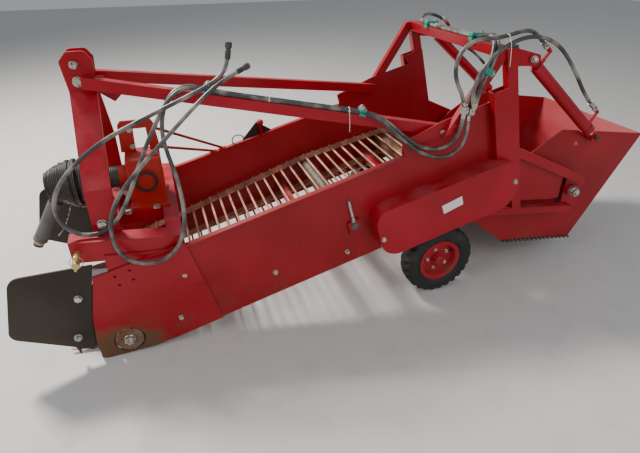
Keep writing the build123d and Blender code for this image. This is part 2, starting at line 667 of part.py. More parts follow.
def hitch_frame():
    frame = beam_block(BEAM_FRONT_X, BEAM_REAR_X, -BEAM_OUT, -BEAM_IN)
    frame += beam_block(BEAM_FRONT_X, BEAM_REAR_X, BEAM_IN, BEAM_OUT)
    front_rear_x = FRONT_CROSS_X + CROSS_BEAM_W
    frame += beam_block(FRONT_CROSS_X, front_rear_x, -BEAM_IN, BEAM_IN)
    frame += beam_block(REAR_CROSS_X, BEAM_REAR_X, -BEAM_IN, BEAM_IN)
    for y in (-CARRIER_Y, CARRIER_Y):
        frame += plate([(front_rear_x, CARRIER_TOP_Z - CARRIER_H), (REAR_CROSS_X, CARRIER_TOP_Z - CARRIER_H),
                        (REAR_CROSS_X, CARRIER_TOP_Z), (front_rear_x, CARRIER_TOP_Z)],
                       y - CARRIER_W / 2, y + CARRIER_W / 2)
    return frame


def link_pin():
    x = BEAM_FRONT_X + LINK_PIN_BACK
    return cross_bar(x, beam_line(x), LINK_PIN_D, -LINK_PIN_TIP, -BEAM_OUT)


def hitch_side_plate():
    """Plate that hangs the hitch frame on the cheek, ahead of the wall's front edge."""
    wall_front = [slope_point(WALL_FRONT_U - 4, v) for v in (150.0, WALL_TOP_V + 4)]
    return plate([(-1176.0, 520.0), (-1176.0, 360.0), (-1060.0, 300.0), *wall_front], -WALL_OUT, -BEAM_OUT)


def mast():
    outer = -MAST_HALF - MAST_T
    ear = plate([(MAST_FRONT_X, MAST_SPLAY_Z), (MAST_FRONT_X - 12, MAST_TOP_Z - 34), (MAST_FRONT_X + 24, MAST_TOP_Z),
                 (MAST_REAR_X - 16, MAST_TOP_Z), (MAST_REAR_X + 9, MAST_TOP_Z - 34), (MAST_REAR_X, MAST_SPLAY_Z)],
                outer, -MAST_HALF, rounds=[0, 16, 20, 20, 14, 0])
    ear -= cross_bar(TOP_PIN_X, TOP_PIN_Z, TOP_PIN_D, outer - 1, -MAST_HALF + 1)
    corners = ((-MAST_HALF, MAST_SPLAY_Z), (outer, MAST_SPLAY_Z), (-BEAM_IN - MAST_T, MAST_KNEE_Z),
               (-BEAM_IN - MAST_T, BEAM_FRONT_Z), (-BEAM_IN, BEAM_FRONT_Z), (-BEAM_IN, MAST_KNEE_Z - MAST_T / 2))
    leg_outline = Polyline(*[(MAST_FRONT_X, y, z) for y, z in corners], close=True)
    leg = extrude(make_face(leg_outline), MAST_WIDTH, dir=(1, 0, 0))
    left = ear + leg - beam_block(BEAM_FRONT_X, BEAM_REAR_X, -BEAM_OUT, 0)
    tie = plate([(MAST_FRONT_X + 8, MAST_SPLAY_Z), (MAST_REAR_X - 8, MAST_SPLAY_Z),
                 (MAST_REAR_X - 8, MAST_SPLAY_Z + MAST_T), (MAST_FRONT_X + 8, MAST_SPLAY_Z + MAST_T)],
                -MAST_HALF, MAST_HALF)
    gusset = plate([(MAST_REAR_X, MAST_SPLAY_Z + 20), (MAST_REAR_X + 100, MAST_SPLAY_Z - 24),
                    (MAST_REAR_X + 58, MAST_SPLAY_Z - 62), (MAST_REAR_X - 20, MAST_SPLAY_Z - 2),
                    (MAST_REAR_X - 20, MAST_SPLAY_Z + 20)], -MAST_T / 2, MAST_T / 2)
    return left + mirror(left, about=Plane.XZ) + tie + gusset


def top_link_pin():
    reach = MAST_HALF + MAST_T + 10.0
    return cross_bar(TOP_PIN_X, TOP_PIN_Z, TOP_PIN_D, -reach, reach)


def brace():
    """Square tube from the mast's ear to a pad inside the tower."""
    rear_y = -WALL_IN + BRACE_PLATE_T
    ear_y = -MAST_HALF - MAST_T
    start = Vector(TOP_PIN_X + 20, ear_y - BRACE_W / 2 - 4, BRACE_FRONT_Z)
    end = Vector(BRACE_REAR_X, rear_y + BRACE_W / 4, BRACE_REAR_Z)
    along = end - start
    bar = extrude(Plane(start, x_dir=Vector(0, 0, 1).cross(along), z_dir=along) * Rectangle(BRACE_W, BRACE_H),
                  along.length)
    bar -= Pos(BRACE_REAR_X, rear_y, BRACE_REAR_Z) * Box(
        2 * along.length, 2 * BRACE_W, 2 * along.length, align=(Align.CENTER, Align.MAX, Align.CENTER))
    pad = plate([(BRACE_REAR_X - 206, BRACE_REAR_Z - 88), (BRACE_REAR_X - 206, BRACE_REAR_Z - 18),
                 (BRACE_REAR_X + 15, BRACE_REAR_Z + 24), (BRACE_REAR_X + 15, BRACE_REAR_Z - 32)], -WALL_IN, rear_y)
    nose = plate([(MAST_FRONT_X + 14, BRACE_FRONT_Z - 26), (MAST_FRONT_X + 14, BRACE_FRONT_Z + 26),
                  (MAST_REAR_X + 40, BRACE_FRONT_Z + 14), (MAST_REAR_X + 40, BRACE_FRONT_Z - 40)],
                 ear_y - 6, ear_y)
    return bar + pad + nose


# Gearbox
def gearbox():
    half = GEARBOX_LENGTH / 2
    base_t = 12.0
    base = Pos(GEARBOX_X, 0, CARRIER_TOP_Z + base_t / 2) * Box(GEARBOX_LENGTH, 2 * CARRIER_Y + CARRIER_W, base_t)
    case = Pos(GEARBOX_X, 0, CARRIER_TOP_Z + GEARBOX_H / 2) * Box(GEARBOX_LENGTH - 14, GEARBOX_WIDTH, GEARBOX_H)
    case = fillet(case.edges().filter_by(Axis.Z) + case.edges().group_by(Axis.Z)[-1], 14)
    body = base + case
    for side in (-1, 1):
        cap_at = (GEARBOX_X, side * GEARBOX_WIDTH / 2, SHAFT_Z)
        body += stub(cap_at, (0, side, 0), GEAR_CAP_D, -1, GEAR_CAP_T)
        body -= stub(cap_at, (0, side, 0), 0.7 * GEAR_CAP_D, GEAR_CAP_T / 3, GEAR_CAP_T + 1)
    front_face = (GEARBOX_X - half + 7, 0, SHAFT_Z)
    body += stub(front_face, (-1, 0, 0), 2 * BELL_NECK_R, -1, GEARBOX_NECK)
    return body + stub(front_face, (-1, 0, 0), INPUT_SHAFT_D, 0, INPUT_SHAFT_L)


# Stay rods from the gearbox's arch to the right wall's flange: (x, z) on the arch, u on the flange
STAY_RODS = (((-912.0, 880.0), 705.0), ((-902.0, 787.0), 652.0))
STAY_ROD_D = 14.0
STAY_FOOT = 40.0


def gearbox_bracket():
    """Arch of flat bar over the gearbox, with two rods that stay it to the right wall."""
    top = CARRIER_TOP_Z + GEARBOX_H
    front, rear = GEARBOX_X - GEARBOX_LENGTH / 2, GEARBOX_X + GEARBOX_LENGTH / 2
    outline = [(front - 4, top), (front + 2, top + 124), (front + 16, top + 142), (rear - 26, top + 142),
               (rear - 14, top + 124), (rear, top), (rear - 46, top), (rear - 50, top + 104),
               (front + 64, top + 104), (front + 60, top)]
    bracket = plate(outline, BRACKET_Y - BRACKET_T / 2, BRACKET_Y + BRACKET_T / 2)
    for (x, z), u in STAY_RODS:
        start = Vector(x, BRACKET_Y, z)
        foot_x, foot_z = slope_point(u, WALL_TOP_V + FLANGE_T)
        reach = Vector(foot_x, WALL_OUT + FLANGE_WIDTH / 2, foot_z) - start
        rod = stub(start, reach, STAY_ROD_D, 0, reach.length)
        rod -= slope_block(u - STAY_FOOT, u + STAY_FOOT, 0, WALL_TOP_V, WALL_IN, WALL_OUT + 2 * FLANGE_WIDTH)
        foot = slope_block(u - STAY_FOOT / 2, u + STAY_FOOT / 2, WALL_TOP_V, WALL_TOP_V + FLANGE_T,
                           WALL_OUT, WALL_OUT + FLANGE_WIDTH)
        bracket += rod + foot
    return bracket


def drive_shaft_guard():
    """Ribbed bell in front of the gearbox, its sleeve and the tube that hangs from it."""
    sleeve_rear_x = GEARBOX_X - GEARBOX_LENGTH / 2 + 7 - GEARBOX_NECK
    guard = stub((sleeve_rear_x, 0, SHAFT_Z), (-1, 0, 0), 2 * BELL_NECK_R, 0, sleeve_rear_x - BELL_REAR_X)
    for index in range(BELL_RIBS):
        swell = sin(pi * (index + 2.2) / (BELL_RIBS + 2.2))
        diameter = 2 * (BELL_NECK_R + (BELL_R - BELL_NECK_R) * swell)
        start = (BELL_REAR_X - index * BELL_RIB_PITCH, 0, SHAFT_Z)
        guard += stub(start, (-1, 0, 0), diameter, 0, BELL_RIB_PITCH / 2)
        guard += stub(start, (-1, 0, 0), diameter - 16, BELL_RIB_PITCH / 2, BELL_RIB_PITCH)
    shaft_end = GEARBOX_X - GEARBOX_LENGTH / 2 + 7 - INPUT_SHAFT_L
    guard -= stub((sleeve_rear_x + 1, 0, SHAFT_Z), (-1, 0, 0), INPUT_SHAFT_D + 2 * PIN_PLAY, 0,
                  sleeve_rear_x + 2 - shaft_end)
    tip_x = BELL_REAR_X - BELL_RIBS * BELL_RIB_PITCH
    tube_top = Vector(tip_x + 40, 0, SHAFT_Z - 40)
    tube_low = Vector(GUARD_TUBE_END[0], 0, GUARD_TUBE_END[1])
    fall = tube_low - tube_top
    return guard + stub(tube_top, fall, GUARD_TUBE_D, 0, fall.length) + stub(tube_low, fall, GUARD_TUBE_D - 14, 0, 30)


# Web tensioners: a bearing block at each end of the carrying roller and the screw above it
BLOCK_SIZE = 64.0
BLOCK_T = 16.0
SCREW_D = 12.0
SCREW_TOP_V = 234.0


def tensioner():
    half = BLOCK_SIZE / 2
    block = slope_block(MID_ROLLER_U - half, MID_ROLLER_U + half, MID_ROLLER_V - half, MID_ROLLER_V + half,
                        -WALL_OUT - BLOCK_T, -WALL_OUT)
    x, z = slope_point(MID_ROLLER_U, MID_ROLLER_V)
    block -= cross_bar(x, z, SHAFT_D + 2 * ROLLER_GAP, -WALL_OUT - BLOCK_T - 1, -WALL_OUT + 1)
    low_x, low_z = slope_point(MID_ROLLER_U, MID_ROLLER_V + half - 4)
    screw = stub((low_x, -WALL_OUT - BLOCK_T / 2, low_z), (-SIN, 0, COS), SCREW_D, 0,
                 SCREW_TOP_V - MID_ROLLER_V - half)
    return block + screw


# Triangular bracket on the right wall's flange
BRACKET_FOOT_U = (828.0, 1004.0)
BRACKET_PEAK = (939.0, 417.0)


def wall_bracket():
    outline = [(BRACKET_FOOT_U[0], WALL_TOP_V), BRACKET_PEAK, (BRACKET_FOOT_U[1], WALL_TOP_V)]
    return slope_plate(outline, WALL_OUT + FLANGE_WIDTH - BRACKET_PLATE_T, WALL_OUT + FLANGE_WIDTH)


# Centre lines of the hoses, set by hand along the hoses of the real machine. The feed hoses run from the
# tees on the left strut along the left brace, hang in a loop at the hitch and end in a coupler.
FEED_HOSE_A = (
    (376, -457, 936), (372, -457, 888), (351, -456, 840), (308, -452, 809), (252, -445, 803), (188, -437, 822),
    (124, -426, 864), (72, -396, 914), (16, -350, 956.5), (-65, -290.9, 968.7), (-256, -247.6, 1001.8),
    (-462, -205, 1037.3), (-609, -171.7, 1062.7), (-688, -160, 1084), (-748, -160, 1101), (-800, -175, 1090),
    (-840, -199, 1056), (-868, -232, 1000), (-878, -268, 935), (-868, -306, 868), (-850, -348, 795),
    (-843, -392, 715), (-846, -424, 640), (-864, -438, 568), (-902, -440, 506), (-958, -440, 471),
    (-1020, -440, 468), (-1076, -440, 492), (-1112, -440, 540), (-1126, -436, 600), (-1122, -424, 672),
    (-1090, -396, 742), (-1032, -372, 806), (-940, -338, 883), (-850, -306, 955), (-760, -272, 1026),
    (-672, -238, 1089), (-595, -202, 1127), (-521, -168, 1151),
)
FEED_HOSE_B = (
    (404, -457, 925), (408, -457, 872), (397, -458, 822), (364, -457, 782), (312, -453, 762), (248, -449, 772),
    (176, -446, 804), (111, -438, 856), (59, -410, 906), (7, -366, 957), (-69, -309.4, 968.7),
    (-261, -270, 1001.8), (-466, -223.6, 1037.3), (-614, -193.2, 1062.7), (-690, -182, 1084), (-752, -193, 1103),
    (-810, -214, 1084), (-858, -238, 1038), (-898, -256, 980), (-938, -272, 918), (-980, -292, 845),
    (-1025, -320, 758), (-1076, -342, 672), (-1130, -360, 616), (-1190, -370, 600), (-1250, -368, 612),
    (-1295, -360, 652), (-1312, -352, 708), (-1302, -344, 770), (-1260, -332, 834), (-1186, -314, 898),
    (-1090, -298, 956), (-980, -288, 1002), (-870, -276, 1043), (-770, -262, 1079), (-690, -250, 1108),
    (-628, -234, 1137), (-590, -220, 1179), (-580, -214, 1232),
)
HOSE_LEFT_TOP = (
    (366, -457, 1010), (352, -458, 1044), (327, -461, 1080), (306, -464, 1118), (297, -466, 1160),
    (304, -467, 1203), (329, -467, 1238), (367, -466, 1258), (412, -464, 1263), (460, -462, 1263),
    (508, -460, 1267), (556, -459, 1275), (605, -454, 1284), (656, -443, 1281), (708, -430, 1258),
    (750, -420, 1228), (782, -415, 1204.4),
)
HOSE_LEFT_LOW = (
    (408, -467, 1003), (395, -474, 1052), (399, -479, 1104), (420, -482, 1150), (452, -482, 1190),
    (498, -480, 1222), (552, -478, 1248), (618, -474, 1262), (690, -467, 1259), (763, -457, 1238),
    (832, -446, 1203), (902, -437, 1147), (979, -428, 1070), (1056, -419, 985), (1108, -415, 936.5),
    (1134.8, -415, 914.5),
)
HOSE_RIGHT_TOP = (
    (388, -450, 1000), (410, -449, 1052), (438, -450, 1106), (466, -451, 1158), (490, -438, 1205),
    (510, -406, 1240), (526, -361, 1255), (540, -311, 1251), (551, -261, 1238), (558, -210, 1228),
    (561, -150, 1223.6), (562, -20, 1223.6), (561, 120, 1223.6), (562, 236, 1223.6), (567, 300, 1226),
    (585, 352, 1235), (618, 391, 1246), (661, 411, 1251), (705, 417, 1243), (746, 417, 1228),
    (782, 415, 1204.4),
)
HOSE_RIGHT_LOW = (
    (432, -456, 1000), (442, -453, 1050), (462, -451, 1106), (486, -452, 1158), (510, -438, 1205),
    (530, -406, 1240), (546, -361, 1255), (560, -311, 1251), (570, -261, 1238), (577, -210, 1228),
    (580, -150, 1223.6), (581, -20, 1223.6), (580, 110, 1223.6), (585, 200, 1224), (604, 252, 1225),
    (634, 298, 1211), (668, 334, 1184), (708, 360, 1155), (758, 372, 1129), (816, 376, 1105),
    (880, 380, 1080), (946, 388, 1051), (1008, 398, 1015), (1064, 408, 973), (1106, 414, 938),
    (1134.8, 415, 914.5),
)
BEND_REACH = 0.45


def hose(name, points):
    """Tube of straight runs joined by tangent arcs; prints its length and its tightest bend."""
    line = [Vector(*point) for point in points]
    path, start, tightest = [], line[0], inf
    for before, corner, after in zip(line, line[1:], line[2:]):
        arriving, leaving = (corner - before), (after - corner)
        half_turn = radians(arriving.get_angle(leaving)) / 2
        reach = BEND_REACH * min(arriving.length, leaving.length)
        radius = reach / tan(half_turn)
        tightest = min(tightest, radius)
        inwards = (leaving.normalized() - arriving.normalized()).normalized()
        arc_start = corner - arriving.normalized() * reach
        arc_end = corner + leaving.normalized() * reach
        path.append(Line(start, arc_start))
        path.append(ThreePointArc(arc_start, corner + inwards * radius * (1 / cos(half_turn) - 1), arc_end))
        start = arc_end
    path.append(Line(start, line[-1]))
    route = Wire(path)
    print(name, "length", round(route.length), "tightest bend", round(tightest))
    return sweep(Plane(line[0], z_dir=line[1] - line[0]) * Circle(HOSE_D / 2), path=route)


hose_lines = {
    "feed_hose_a": FEED_HOSE_A,
    "feed_hose_b": FEED_HOSE_B,
    "hose_left_top": HOSE_LEFT_TOP,
    "hose_left_low": HOSE_LEFT_LOW,
    "hose_right_top": HOSE_RIGHT_TOP,
    "hose_right_low": HOSE_RIGHT_LOW,
}


def hose_tees():
    """Two tees on the outer face of the left strut, each with the ferrules of the three hoses it joins."""
    strut_face = WALL_OUT + STRUT_DEPTH
    joined = ((FEED_HOSE_A, HOSE_LEFT_TOP, HOSE_RIGHT_TOP), (FEED_HOSE_B, HOSE_LEFT_LOW, HOSE_RIGHT_LOW))
    tees = []
    for (x, z), lines in zip(TEE_PLACES, joined):
        tee = plate([(x - TEE_WIDTH / 2, z - TEE_HEIGHT / 2), (x + TEE_WIDTH / 2, z - TEE_HEIGHT / 2),
                     (x + TEE_WIDTH / 2, z + TEE_HEIGHT / 2), (x - TEE_WIDTH / 2, z + TEE_HEIGHT / 2)],
                    -TEE_OUT, -strut_face)
        for end, following in [line[:2] for line in lines]:
            tee += stub(end, Vector(*end) - Vector(*following), FERRULE_D, 0, FERRULE_LENGTH)
        tees += tee.solids()
    return Compound(tees)


pieces = {
    "side_walls": both_sides(side_wall()),
    "front_cheeks": both_sides(front_cheek()),
    "share": share(),
    "web": web(),
    "front_roller": front_roller(),
    "carrying_roller": roller(MID_ROLLER_U, MID_ROLLER_V, MID_ROLLER_R, WALL_OUT + BLOCK_T - 4),
    "drive_roller": roller(REAR_ROLLER_U, REAR_ROLLER_V, ROLLER_R, WALL_OUT + SHAFT_END),
    "cross_members": cross_members(),
    "wheel_beam": wheel_beam(),
    "wheel_legs": both_sides(wheel_leg()),
    "tensioners": both_sides(tensioner()),
    "chain_guard": chain_guard(),
    "uprights": both_sides(upright()),
    "crossbar": crossbar(),
    "bottom_rails": both_sides(bottom_rail()),
    "outriggers": both_sides(outrigger()),
    "pivot_pins": both_sides(pivot_pin()),
    "cylinder_top_pins": both_sides(cylinder_top_pin()),
    "shields": both_sides(shield()),
    "shield_brackets": both_sides(shield_bracket()),
    "hitch_frame": hitch_frame(),
    "hitch_side_plates": both_sides(hitch_side_plate()),
    "link_pins": both_sides(link_pin()),
    "mast": mast(),
    "top_link_pin": top_link_pin(),
    "braces": both_sides(brace()),
    "gearbox": gearbox(),
    "gearbox_bracket": gearbox_bracket(),
    "drive_shaft_guard": drive_shaft_guard(),
    "wall_bracket": wall_bracket(),
    "bucket": bucket(),
    "hose_tees": hose_tees(),
}
for name, line in hose_lines.items():
    pieces[name] = hose(name, line)
paired = {"tyre": tyre, "rim": wheel_rim, "cylinder_barrel": cylinder_barrel, "cylinder_rod": cylinder_rod}
for name, make in paired.items():
    solid = make()
    pieces[name + "_left"] = solid
    pieces[name + "_right"] = mirror(solid, about=Plane.XZ)

os.makedirs("parts", exist_ok=True)
for name, solid in pieces.items():
    export_step(solid, f"parts/{name}.step")
    print(name, round(solid.volume / 1000), "cm3")
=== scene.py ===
"""Stone picker for a tractor's three-point linkage: finishes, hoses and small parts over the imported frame.

Metres in the frame's axes: x runs back to the bucket, y to the machine's right and z up.
Places that were read off the machine's sides are written in millimetres and go through mm().
"""

import logging
import math
from collections.abc import Sequence
from dataclasses import dataclass, field
from enum import Enum

import bpy
import numpy as np
from mathutils import Matrix, Vector


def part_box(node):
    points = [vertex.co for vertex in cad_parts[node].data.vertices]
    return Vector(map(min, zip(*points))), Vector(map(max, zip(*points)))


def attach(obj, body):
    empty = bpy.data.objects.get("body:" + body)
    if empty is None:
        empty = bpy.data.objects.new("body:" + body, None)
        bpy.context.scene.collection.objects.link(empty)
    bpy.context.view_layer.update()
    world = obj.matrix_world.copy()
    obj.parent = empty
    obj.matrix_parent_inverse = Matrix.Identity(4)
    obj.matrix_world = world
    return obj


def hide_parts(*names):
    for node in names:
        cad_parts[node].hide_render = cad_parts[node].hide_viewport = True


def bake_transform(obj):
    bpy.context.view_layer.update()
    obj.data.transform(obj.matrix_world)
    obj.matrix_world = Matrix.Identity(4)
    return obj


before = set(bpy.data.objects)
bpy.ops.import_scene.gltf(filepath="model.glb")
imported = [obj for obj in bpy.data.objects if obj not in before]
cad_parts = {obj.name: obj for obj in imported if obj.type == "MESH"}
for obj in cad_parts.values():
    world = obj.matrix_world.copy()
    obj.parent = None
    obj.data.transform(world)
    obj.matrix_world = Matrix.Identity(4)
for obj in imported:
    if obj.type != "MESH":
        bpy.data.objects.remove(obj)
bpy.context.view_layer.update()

log = logging.getLogger("stone_picker")

Point = tuple[float, float, float]
Colour = tuple[float, float, float]
Materials = dict[str, bpy.types.Material]

UP = Vector((0.0, 0.0, 1.0))
SLOPE = math.radians(15.0)
SLOPE_ORIGIN = Vector((-1.160, 0.0, 0.079))
WALL_FACE = 0.410
CHEEK_FACE = 0.418
GUARD_FACE = 0.500


class Side(Enum):
    """Left and right of the machine, as the sign of y."""

    LEFT = -1
    RIGHT = 1

    @property
    def word(self) -> str:
        """The side's name, as nodes and bodies have it."""
        return self.name.lower()

    @property
    def outwards(self) -> Vector:
        """Direction away from the machine's middle."""
        return Vector((0.0, self.value, 0.0))

    def at(self, x: float, z: float, out: float) -> Vector:
        """Point at a distance out from the machine's middle, in metres."""
        return Vector((x, self.value * out, z))


def mm(*values: float) -> Vector:
    """Point given in millimetres.

    Args:
        values: x, y and z in millimetres.

    Returns:
        The point in metres.
    """
    return Vector(values) / 1000


def on_slope(along: float, above: float, y: float) -> Vector:
    """Point laid out on the slope of the web.

    Args:
        along: Distance up the slope from the front roller's axis, in metres.
        above: Distance square to the slope, in metres.
        y: Distance to the machine's right, in metres.

    Returns:
        The point in the frame's axes.
    """
    x = along * math.cos(SLOPE) - above * math.sin(SLOPE)
    z = along * math.sin(SLOPE) + above * math.cos(SLOPE)
    return SLOPE_ORIGIN + Vector((x, y, z))


# Camera and lights
@dataclass(frozen=True)
class CameraSetup:
    """Camera at the photograph's viewing angle."""

    place: Point = (-0.8788, -2.2052, 1.600)
    tilt: float = 59.581
    turn: float = -18.827
    lens: float = 27.2526
    sensor: float = 36.0

    def build(self) -> None:
        """Make the camera and set it as the scene's own."""
        data = bpy.data.cameras.new("camera")
        data.lens = self.lens
        data.sensor_width = self.sensor
        camera = bpy.data.objects.new("camera", data)
        camera.location = self.place
        camera.rotation_euler = (math.radians(self.tilt), 0.0, math.radians(self.turn))
        bpy.context.scene.collection.objects.link(camera)
        bpy.context.scene.camera = camera


@dataclass(frozen=True)
class SoftLight:
    """Large area light that looks at the machine."""

    name: str
    place: Point
    power: float
    size: float
    colour: Colour = (1.0, 1.0, 1.0)
    aim_at: Point = (0.0, 0.0, 0.5)

    def build(self) -> bpy.types.Object:
        """Make the light and turn it to the middle of the machine.

        Returns:
            The light, in the scene.
        """
        data = bpy.data.lights.new(self.name, "AREA")
        data.energy = self.power
        data.size = self.size
        data.color = self.colour
        light = bpy.data.objects.new(self.name, data)
        light.location = self.place
        aim = Vector(self.aim_at) - Vector(self.place)
        light.rotation_euler = aim.to_track_quat("-Z", "Y").to_euler()
        bpy.context.scene.collection.objects.link(light)
        return light


LIGHTS = (
    SoftLight("key_light", (-2.6, 2.6, 4.6), 520.0, 1.1, (1.0, 0.96, 0.90)),
    SoftLight("fill_light", (1.2, -4.6, 3.0), 92.0, 4.0),
    SoftLight("front_light", (-4.2, -1.4, 2.4), 55.0, 2.5),
)


# Shader graphs
@dataclass(frozen=True)
class Graph:
    """Short way to add and join nodes in one node tree."""

    tree: bpy.types.NodeTree

    def add(self, kind: str, settings: dict[str, object] | None = None, **inputs: object) -> bpy.types.Node:
        """Add a node, set its properties and fill or join its inputs.

        Args:
            kind: Node type, without the ShaderNode prefix.
            settings: Properties of the node.
            inputs: Values, or output sockets to join, by input name with _ for a space.

        Returns:
            The new node.
        """
        node = self.tree.nodes.new("ShaderNode" + kind)
        for name, value in (settings or {}).items():
            setattr(node, name, value)
        for name, value in inputs.items():
            self.feed(node.inputs[name.replace("_", " ")], value)
        return node

    def feed(self, socket: bpy.types.NodeSocket, value: object) -> None:
        """Join an output to an input socket, or set the socket's own value.

        Args:
            socket: The input socket.
            value: Output socket to join to it, or its value.
        """
        if isinstance(value, bpy.types.NodeSocket):
            self.tree.links.new(value, socket)
        else:
            socket.default_value = value

    def operate(self, kind: str, operation: str, *terms: object) -> bpy.types.Node:
        """Maths node with its terms filled in or joined.

        Args:
            kind: Node type, without the ShaderNode prefix.
            operation: What it works out.
            terms: Values or output sockets, in the order of its inputs.

        Returns:
            The new node.
        """
        node = self.add(kind, {"operation": operation})
        for socket, term in zip(node.inputs, terms):
            self.feed(socket, term)
        return node

    def maths(self, operation: str, *terms: object) -> bpy.types.NodeSocket:
        """Value of an operation on one to three numbers."""
        return self.operate("Math", operation, *terms).outputs[0]

    def between(self, value: object, low: float, high: float, least: object = 0.0,
                most: object = 1.0) -> bpy.types.NodeSocket:
        """Smooth step from least to most as a value goes from low to high.

        Args:
            value: The value or its socket.
            low: Value where the result is least.
            high: Value where the result is most. It may be lower than low.
            least: Lowest result, or its socket.
            most: Highest result, or its socket.

        Returns:
            The result's socket.
        """
        node = self.add("MapRange", {"interpolation_type": "SMOOTHSTEP"}, Value=value, From_Min=low,
                        From_Max=high, To_Min=least, To_Max=most)
        return node.outputs["Result"]

    def distance(self, centre: Point, stretch: Point) -> bpy.types.NodeSocket:
        """Distance from a place in object coordinates.

        Args:
            centre: The place.
            stretch: Share of the distance that counts along each axis.

        Returns:
            The distance's socket.
        """
        where = self.add("TexCoord").outputs["Object"]
        flat = self.operate("VectorMath", "MULTIPLY", where, stretch).outputs[0]
        middle = [place * share for place, share in zip(centre, stretch)]
        return self.operate("VectorMath", "DISTANCE", flat, middle).outputs["Value"]

    def mix(self, factor: object, first: object, second: object) -> bpy.types.NodeSocket:
        """Mix of two colours.

        Args:
            factor: Share of the second colour.
            first: Colour or its socket.
            second: Colour or its socket.

        Returns:
            The mixed colour's socket.
        """
        node = self.add("Mix", {"data_type": "RGBA"})
        self.feed(node.inputs[0], factor)
        for index, value in ((6, first), (7, second)):
            self.feed(node.inputs[index], (*value, 1.0) if isinstance(value, tuple) else value)
        return node.outputs[2]

    def place(self, stretch: Point = (1.0, 1.0, 1.0), turn: float = 0.0) -> bpy.types.NodeSocket:
        """Object coordinates, stretched and turned about y."""
        where = self.add("TexCoord").outputs["Object"]
        return self.add("Mapping", Vector=where, Scale=stretch, Rotation=(0.0, turn, 0.0)).outputs["Vector"]

    def noise(self, scale: float, detail: float = 3.0, stretch: Point = (1.0, 1.0, 1.0), turn: float = 0.0,
              distortion: float = 0.0) -> bpy.types.NodeSocket:
        """Noise on object coordinates.

        Args:
            scale: How many times the noise's own size it repeats in a metre.
            detail: Number of finer layers.
            stretch: Further scale along each axis.
            turn: Turn about y, in radians.
            distortion: How far the noise warps itself.

        Returns:
            The noise's socket, from 0 to 1.
        """
        node = self.add("TexNoise", Vector=self.place(stretch, turn), Scale=scale, Detail=detail,
                        Distortion=distortion)
        return node.outputs[0]


SOCKET_KINDS = {"VALUE": "NodeSocketFloat", "VECTOR": "NodeSocketVector", "RGBA": "NodeSocketColor"}


def new_group(name: str, amounts: Sequence[str]) -> tuple[Graph, bpy.types.Node]:
    """Empty node group whose inputs are amounts from 0 to 1.

    Args:
        name: Name of the group.
        amounts: Names of its inputs.

    Returns:
        The group's graph, and the node that gives its inputs.
    """
    tree = bpy.data.node_groups.new(name, "ShaderNodeTree")
    for amount in amounts:
        tree.interface.new_socket(amount, in_out="INPUT", socket_type="NodeSocketFloat")
    return Graph(tree), tree.nodes.new("NodeGroupInput")


def close_group(graph: Graph, results: dict[str, bpy.types.NodeSocket]) -> bpy.types.NodeTree:
    """Put out a group's results under their names.

    Args:
        graph: The group's graph.
        results: Sockets to put out, by output name.

    Returns:
        The finished group.
    """
    for name, socket in results.items():
        graph.tree.interface.new_socket(name, in_out="OUTPUT", socket_type=SOCKET_KINDS[socket.type])
    end = graph.tree.nodes.new("NodeGroupOutput")
    for name, socket in results.items():
        graph.feed(end.inputs[name], socket)
    return graph.tree


def weathering_group() -> bpy.types.NodeTree:
    """Masks shared by the painted finishes: dust with a painted highlight, soil, scratches, blotches and
    edges.

    Returns:
        The group, with an amount as an input for each mask that differs between finishes.
    """
    graph, amounts = new_group("weathering", ("Soil Amount", "Scratch Amount", "Wear Amount"))
    normal = graph.add("NewGeometry").outputs["Normal"]
    rounded = graph.add("Bevel", {"samples": 4}, Radius=0.002).outputs[0]
    facing = graph.operate("VectorMath", "DOT_PRODUCT", rounded, normal).outputs["Value"]
    chipped = graph.between(graph.noise(28.0, 4.0), 0.42, 0.62, most=amounts.outputs["Wear Amount"])
    edge = graph.maths("MULTIPLY", graph.between(facing, 0.995, 0.93), chipped)
    # Upward faces turn a paler pink in noisy patches: dust, and a painted highlight where the top faces
    # catch the light.
    up = graph.add("SeparateXYZ", Vector=normal).outputs["Z"]
    settled = graph.between(graph.noise(9.0, 6.0), 0.34, 0.72)
    dust = graph.maths("MULTIPLY", graph.between(up, 0.2, 1.0), settled)
    height = graph.add("SeparateXYZ", Vector=graph.add("TexCoord").outputs["Object"]).outputs["Z"]
    splashes = graph.between(graph.noise(10.0, 9.0, distortion=0.3), 0.38, 0.78,
                             most=amounts.outputs["Soil Amount"])
    soil = graph.maths("MULTIPLY", graph.between(height, 0.34, 0.0), splashes)
    streaks = [graph.between(graph.noise(5.0, 7.0, (34.0, 34.0, 1.3), turn), cut, cut + 0.03,
                             most=amounts.outputs["Scratch Amount"])
               for turn, cut in ((0.35, 0.705), (-1.1, 0.72))]
    scratches = graph.maths("MAXIMUM", *streaks)
    blotch = graph.between(graph.noise(2.6, 5.0), 0.3, 0.7)
    ripple = graph.add("Bump", Strength=0.08, Distance=0.002, Height=graph.noise(140.0, 2.0),
                       Normal=rounded)
    return close_group(graph, {"Dust": dust, "Soil": soil, "Scratches": scratches, "Blotch": blotch,
                               "Edge": edge, "Normal": ripple.outputs[0]})


DARK_RUST = (0.105, 0.045, 0.022)
BROWN_RUST = (0.235, 0.115, 0.06)
PALE_RUST = (0.34, 0.17, 0.085)


